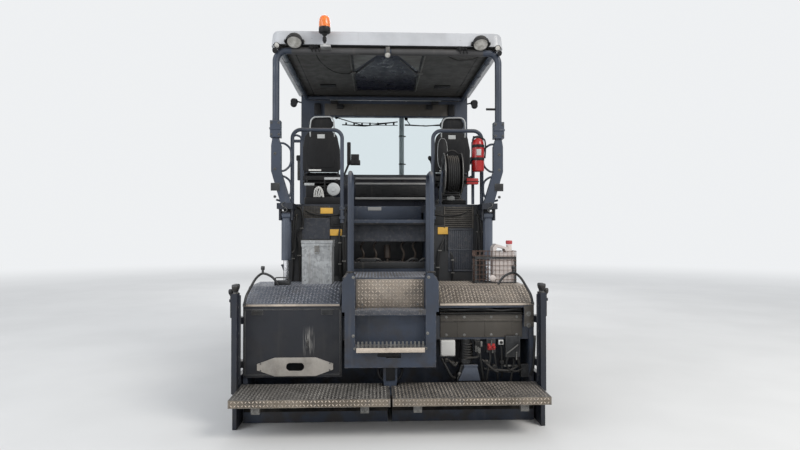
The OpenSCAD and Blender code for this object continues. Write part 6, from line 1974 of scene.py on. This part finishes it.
def bay():
    """Valves, block and cylinder in the open right bay."""
    y0 = BAY_BACK
    white, dark, red, bright = shapes(4, "extension_right")
    white.block((0.447, 0.58), (y0 - 0.018, y0 + 0.05), (0.559, 0.703), 0.018, segments=4)
    for x, z in ((0.462, 0.575), (0.562, 0.575), (0.462, 0.684), (0.562, 0.684)):
        bright.turned([(0.006, 0), (0.005, 0.003), (0, 0.003)], at((x, y0 - 0.014, z), BACK), 12)
    for k in range(3):
        x = 0.762 + k * 0.017
        bright.rod((x, y0 - 0.022, 0.6), (x, y0 - 0.022, 0.665 - 0.01 * k), 0.006, 12)
        dark.block(about(x, 0.007), (y0 - 0.03, y0), (0.655 - 0.01 * k, 0.69), 0.003)
    red.block((0.868, 0.934), (y0 - 0.018, y0 + 0.03), (0.612, 0.668), 0.006)
    for x in (0.882, 0.922):
        red.turned([(0.012, 0), (0.014, 0.012), (0.01, 0.034), (0, 0.036)], at((x, y0 - 0.014, 0.64), BACK), 20)
    bright.rod((0.9, y0 - 0.018, 0.655), (0.9, y0 - 0.022, 0.7), 0.007, 12)
    bright.rod((0.912, y0 - 0.018, 0.615), (0.912, y0 - 0.022, 0.585), 0.005, 12)
    white.block((0.965, 1.009), (y0 - 0.02, y0 + 0.03), (0.66, 0.702), 0.005)
    dark.turned([(0.012, 0), (0.014, 0.01), (0.01, 0.014), (0, 0.014)], at((0.987, y0 - 0.019, 0.681), BACK), 20)
    dark.turned([(0.05, 0.0), (0.056, 0.005), (0.056, 0.024), (0.05, 0.03), (0, 0.03)], at((0.678, -2.61, 0.5)), 32)
    dark.turned([(0.0525, 0.0), (0.0525, 0.03), (0, 0.03)], at((0.678, -2.61, 0.672)), 32)
    for x0, z0, x1, z1 in (
        (0.78, 0.6, 0.66, 0.48), (0.8, 0.6, 0.83, 0.32), (0.89, 0.59, 0.86, 0.3), (0.93, 0.6, 0.96, 0.33),
        (0.99, 0.655, 1.0, 0.36), (1.1, 0.553, 1.08, 0.31),
    ):
        dark.curve([
            (x0, y0 + 0.012, z0), (x0 + 0.004, y0 - 0.004, z0 - 0.05), (0.5 * (x0 + x1), y0 - 0.006, 0.5 * (z0 + z1)),
            (x1, y0 + 0.004, z1 + 0.04), (x1, y0 + 0.03, z1),
        ], 0.0095, 8, count=15)
    dark.curve([
        (1.05, y0 - 0.036, 0.56), (1.03, y0 - 0.03, 0.5), (1.06, y0 - 0.02, 0.44), (1.12, y0 - 0.01, 0.42),
        (1.18, y0 - 0.004, 0.44),
    ], 0.008, 8, count=15)
    bright.rod((1.035, y0 - 0.038, 0.585), (1.135, y0 - 0.038, 0.662), 0.007, 10)
    bright.rod((1.12, y0 - 0.04, 0.6), (1.12, y0 - 0.04, 0.53), 0.007, 10)
    for z in (0.455, 0.405):
        bright.block((1.02, 1.17), (y0 + 0.02, y0 + 0.03), (z, z + 0.016), 0.001)
    for x, z in ((0.62, 0.4), (0.62, 0.24), (0.775, 0.4), (0.775, 0.24)):
        bright.bolt((x, y0, z), BACK, 0.01)
    for z in (0.937, 0.836):
        bright.bolt((1.226, -2.712, z), BACK, 0.015)
    # Worn cover of the beam, its dark rails, and the tapered foot of the jack
    beam, blue, black = shapes(3, "extension_right")
    beam.block((0.446, 1.178), (-2.67, -2.6585), (0.726, 0.928), 0.003)
    beam.block((1.186, 1.271), (-2.7135, -2.7105), (0.826, 1.008), 0.002)
    for x in (0.6, 0.845, 1.09):
        beam.block(about(x, 0.003), (-2.6725, -2.669), (0.735, 0.92), 0.001)
    beam.block((0.446, 1.178), (-2.679, -2.669), (0.868, 0.884), 0.002)
    for x in (0.5, 0.66, 0.9, 1.13):
        for z in (0.905, 0.748):
            bright.bolt((x, -2.67, z), BACK, 0.008)
    dark.rod((0.44, -2.655, 0.962), (1.18, -2.655, 0.962), 0.012)
    dark.block((0.44, 1.18), (-2.69, -2.64), (0.934, 0.946), 0.002)
    dark.curve([
        (0.45, -2.675, 0.985), (0.62, -2.682, 0.968), (0.8, -2.684, 0.982), (0.98, -2.68, 0.962),
        (1.17, -2.672, 0.98),
    ], 0.01, 8, count=25)
    # Black plate on the bay's back wall: painted shade of a pocket's inside
    black.block((1.022, 1.16), (y0 - 0.004, y0 + 0.002), (0.586, 0.722), 0.004)
    bright.rod((1.03, y0 - 0.012, 0.6), (1.15, y0 - 0.012, 0.712), 0.008, 10)
    blue.plate([(0.606, 0.345), (0.803, 0.345), (0.772, 0.47), (0.66, 0.47)], (0.0, 0.02), 0.004,
               at((0, y0 - 0.004, 0)) @ STANDING)
    blue.block((0.655, 0.778), (y0 - 0.03, y0 + 0.02), (0.468, 0.482), 0.003)
    for k in range(7):
        dark.turned(
            [(0.053, 0.0), (0.056, 0.004), (0.056, 0.01), (0.053, 0.014)], at((0.69, -2.61, 0.515 + k * 0.0225)), 28,
        )
    bright.block((0.764, 0.822), (y0 - 0.016, y0 + 0.01), (0.64, 0.69), 0.006)
    bright.rod((0.793, y0 - 0.01, 0.585), (0.793, y0 - 0.01, 0.645), 0.014, 16)
    for x, z in ((0.5, 0.52), (0.56, 0.49), (0.86, 0.5), (0.93, 0.46), (1.0, 0.5)):
        dark.turned([
            (0.018, -0.03), (0.022, -0.02), (0.022, 0.012), (0.014, 0.02), (0, 0.02),
        ], at((x, y0 + 0.006, z), BACK), 20)
    for x0, z0, x1, z1 in (
        (0.46, 0.54, 0.58, 0.36), (0.52, 0.52, 0.6, 0.5), (0.82, 0.52, 1.0, 0.42), (0.84, 0.44, 1.16, 0.47),
        (1.1, 0.72, 1.17, 0.44),
    ):
        dark.curve([
            (x0, y0 + 0.012, z0), (0.6 * x0 + 0.4 * x1, y0 - 0.014, 0.6 * z0 + 0.4 * z1 - 0.02),
            (0.3 * x0 + 0.7 * x1, y0 - 0.016, 0.3 * z0 + 0.7 * z1 - 0.03), (x1, y0 + 0.012, z1),
        ], 0.0115, 8, count=15)
    dark.curve([
        (1.278, -2.722, 0.74), (1.268, -2.752, 0.715), (1.262, -2.752, 0.6), (1.258, -2.744, 0.48),
        (1.24, -2.722, 0.4),
    ], 0.011, 8, count=19)
    beam.piece("bay_beam_cover", "beam_paint", "frame")
    blue.piece("bay_jack_foot", "lift_cylinder_paint", "frame")
    black.piece("bay_pocket_shade", "hose_rubber", "rubber")
    white.piece("bay_boxes", "pale_plastic", "steel")
    dark.piece("bay_hoses", "hose_rubber", "rubber")
    red.piece("bay_valves", "extinguisher_paint", "red")
    bright.piece("bay_fittings", "dull_steel", "steel")


class PAVER_OT_screed(Operator):
    """Fits the screed: rods, latches, bolts, gear of the open bay and the gates"""

    bl_idname = "paver.screed"
    bl_label = "Screed fittings"

    def execute(self, context):
        for s, side in SIDES:
            gate(s, side)
        cover()
        stair()
        bay()
        return {"FINISHED"}


STEPS = [
    PAVER_OT_stage, PAVER_OT_finishes, PAVER_OT_hoses, PAVER_OT_lamps, PAVER_OT_seats, PAVER_OT_treads, PAVER_OT_roof,
    PAVER_OT_station, PAVER_OT_flanks, PAVER_OT_reel, PAVER_OT_screed,
]


class PAVER_PT_panel(Panel):
    """Lists the steps that build the machine's looks"""

    bl_idname = "PAVER_PT_panel"
    bl_label = "Asphalt paver"
    bl_space_type = "VIEW_3D"
    bl_region_type = "UI"
    bl_category = "Paver"

    def draw(self, context):
        for step in STEPS:
            self.layout.operator(step.bl_idname)
        for group in (context.scene.paver_colours, context.scene.paver_sizes):
            for name in group.__annotations__:
                self.layout.prop(group, name)


CLASSES = [PaverColours, PaverSizes, *STEPS, PAVER_PT_panel]


def register():
    for cls in CLASSES:
        bpy.utils.register_class(cls)
    bpy.types.Scene.paver_colours = PointerProperty(type=PaverColours)
    bpy.types.Scene.paver_sizes = PointerProperty(type=PaverSizes)


def unregister():
    del bpy.types.Scene.paver_sizes
    del bpy.types.Scene.paver_colours
    for cls in reversed(CLASSES):
        bpy.utils.unregister_class(cls)


def main():
    register()
    bpy.ops.paver.stage()
    bpy.ops.paver.finishes()
    bpy.ops.paver.hoses()
    bpy.ops.paver.lamps()
    bpy.ops.paver.seats()
    bpy.ops.paver.treads()
    bpy.ops.paver.roof()
    bpy.ops.paver.station()
    bpy.ops.paver.flanks()
    bpy.ops.paver.reel()
    bpy.ops.paver.screed()


if __name__ == "__main__":
    main()
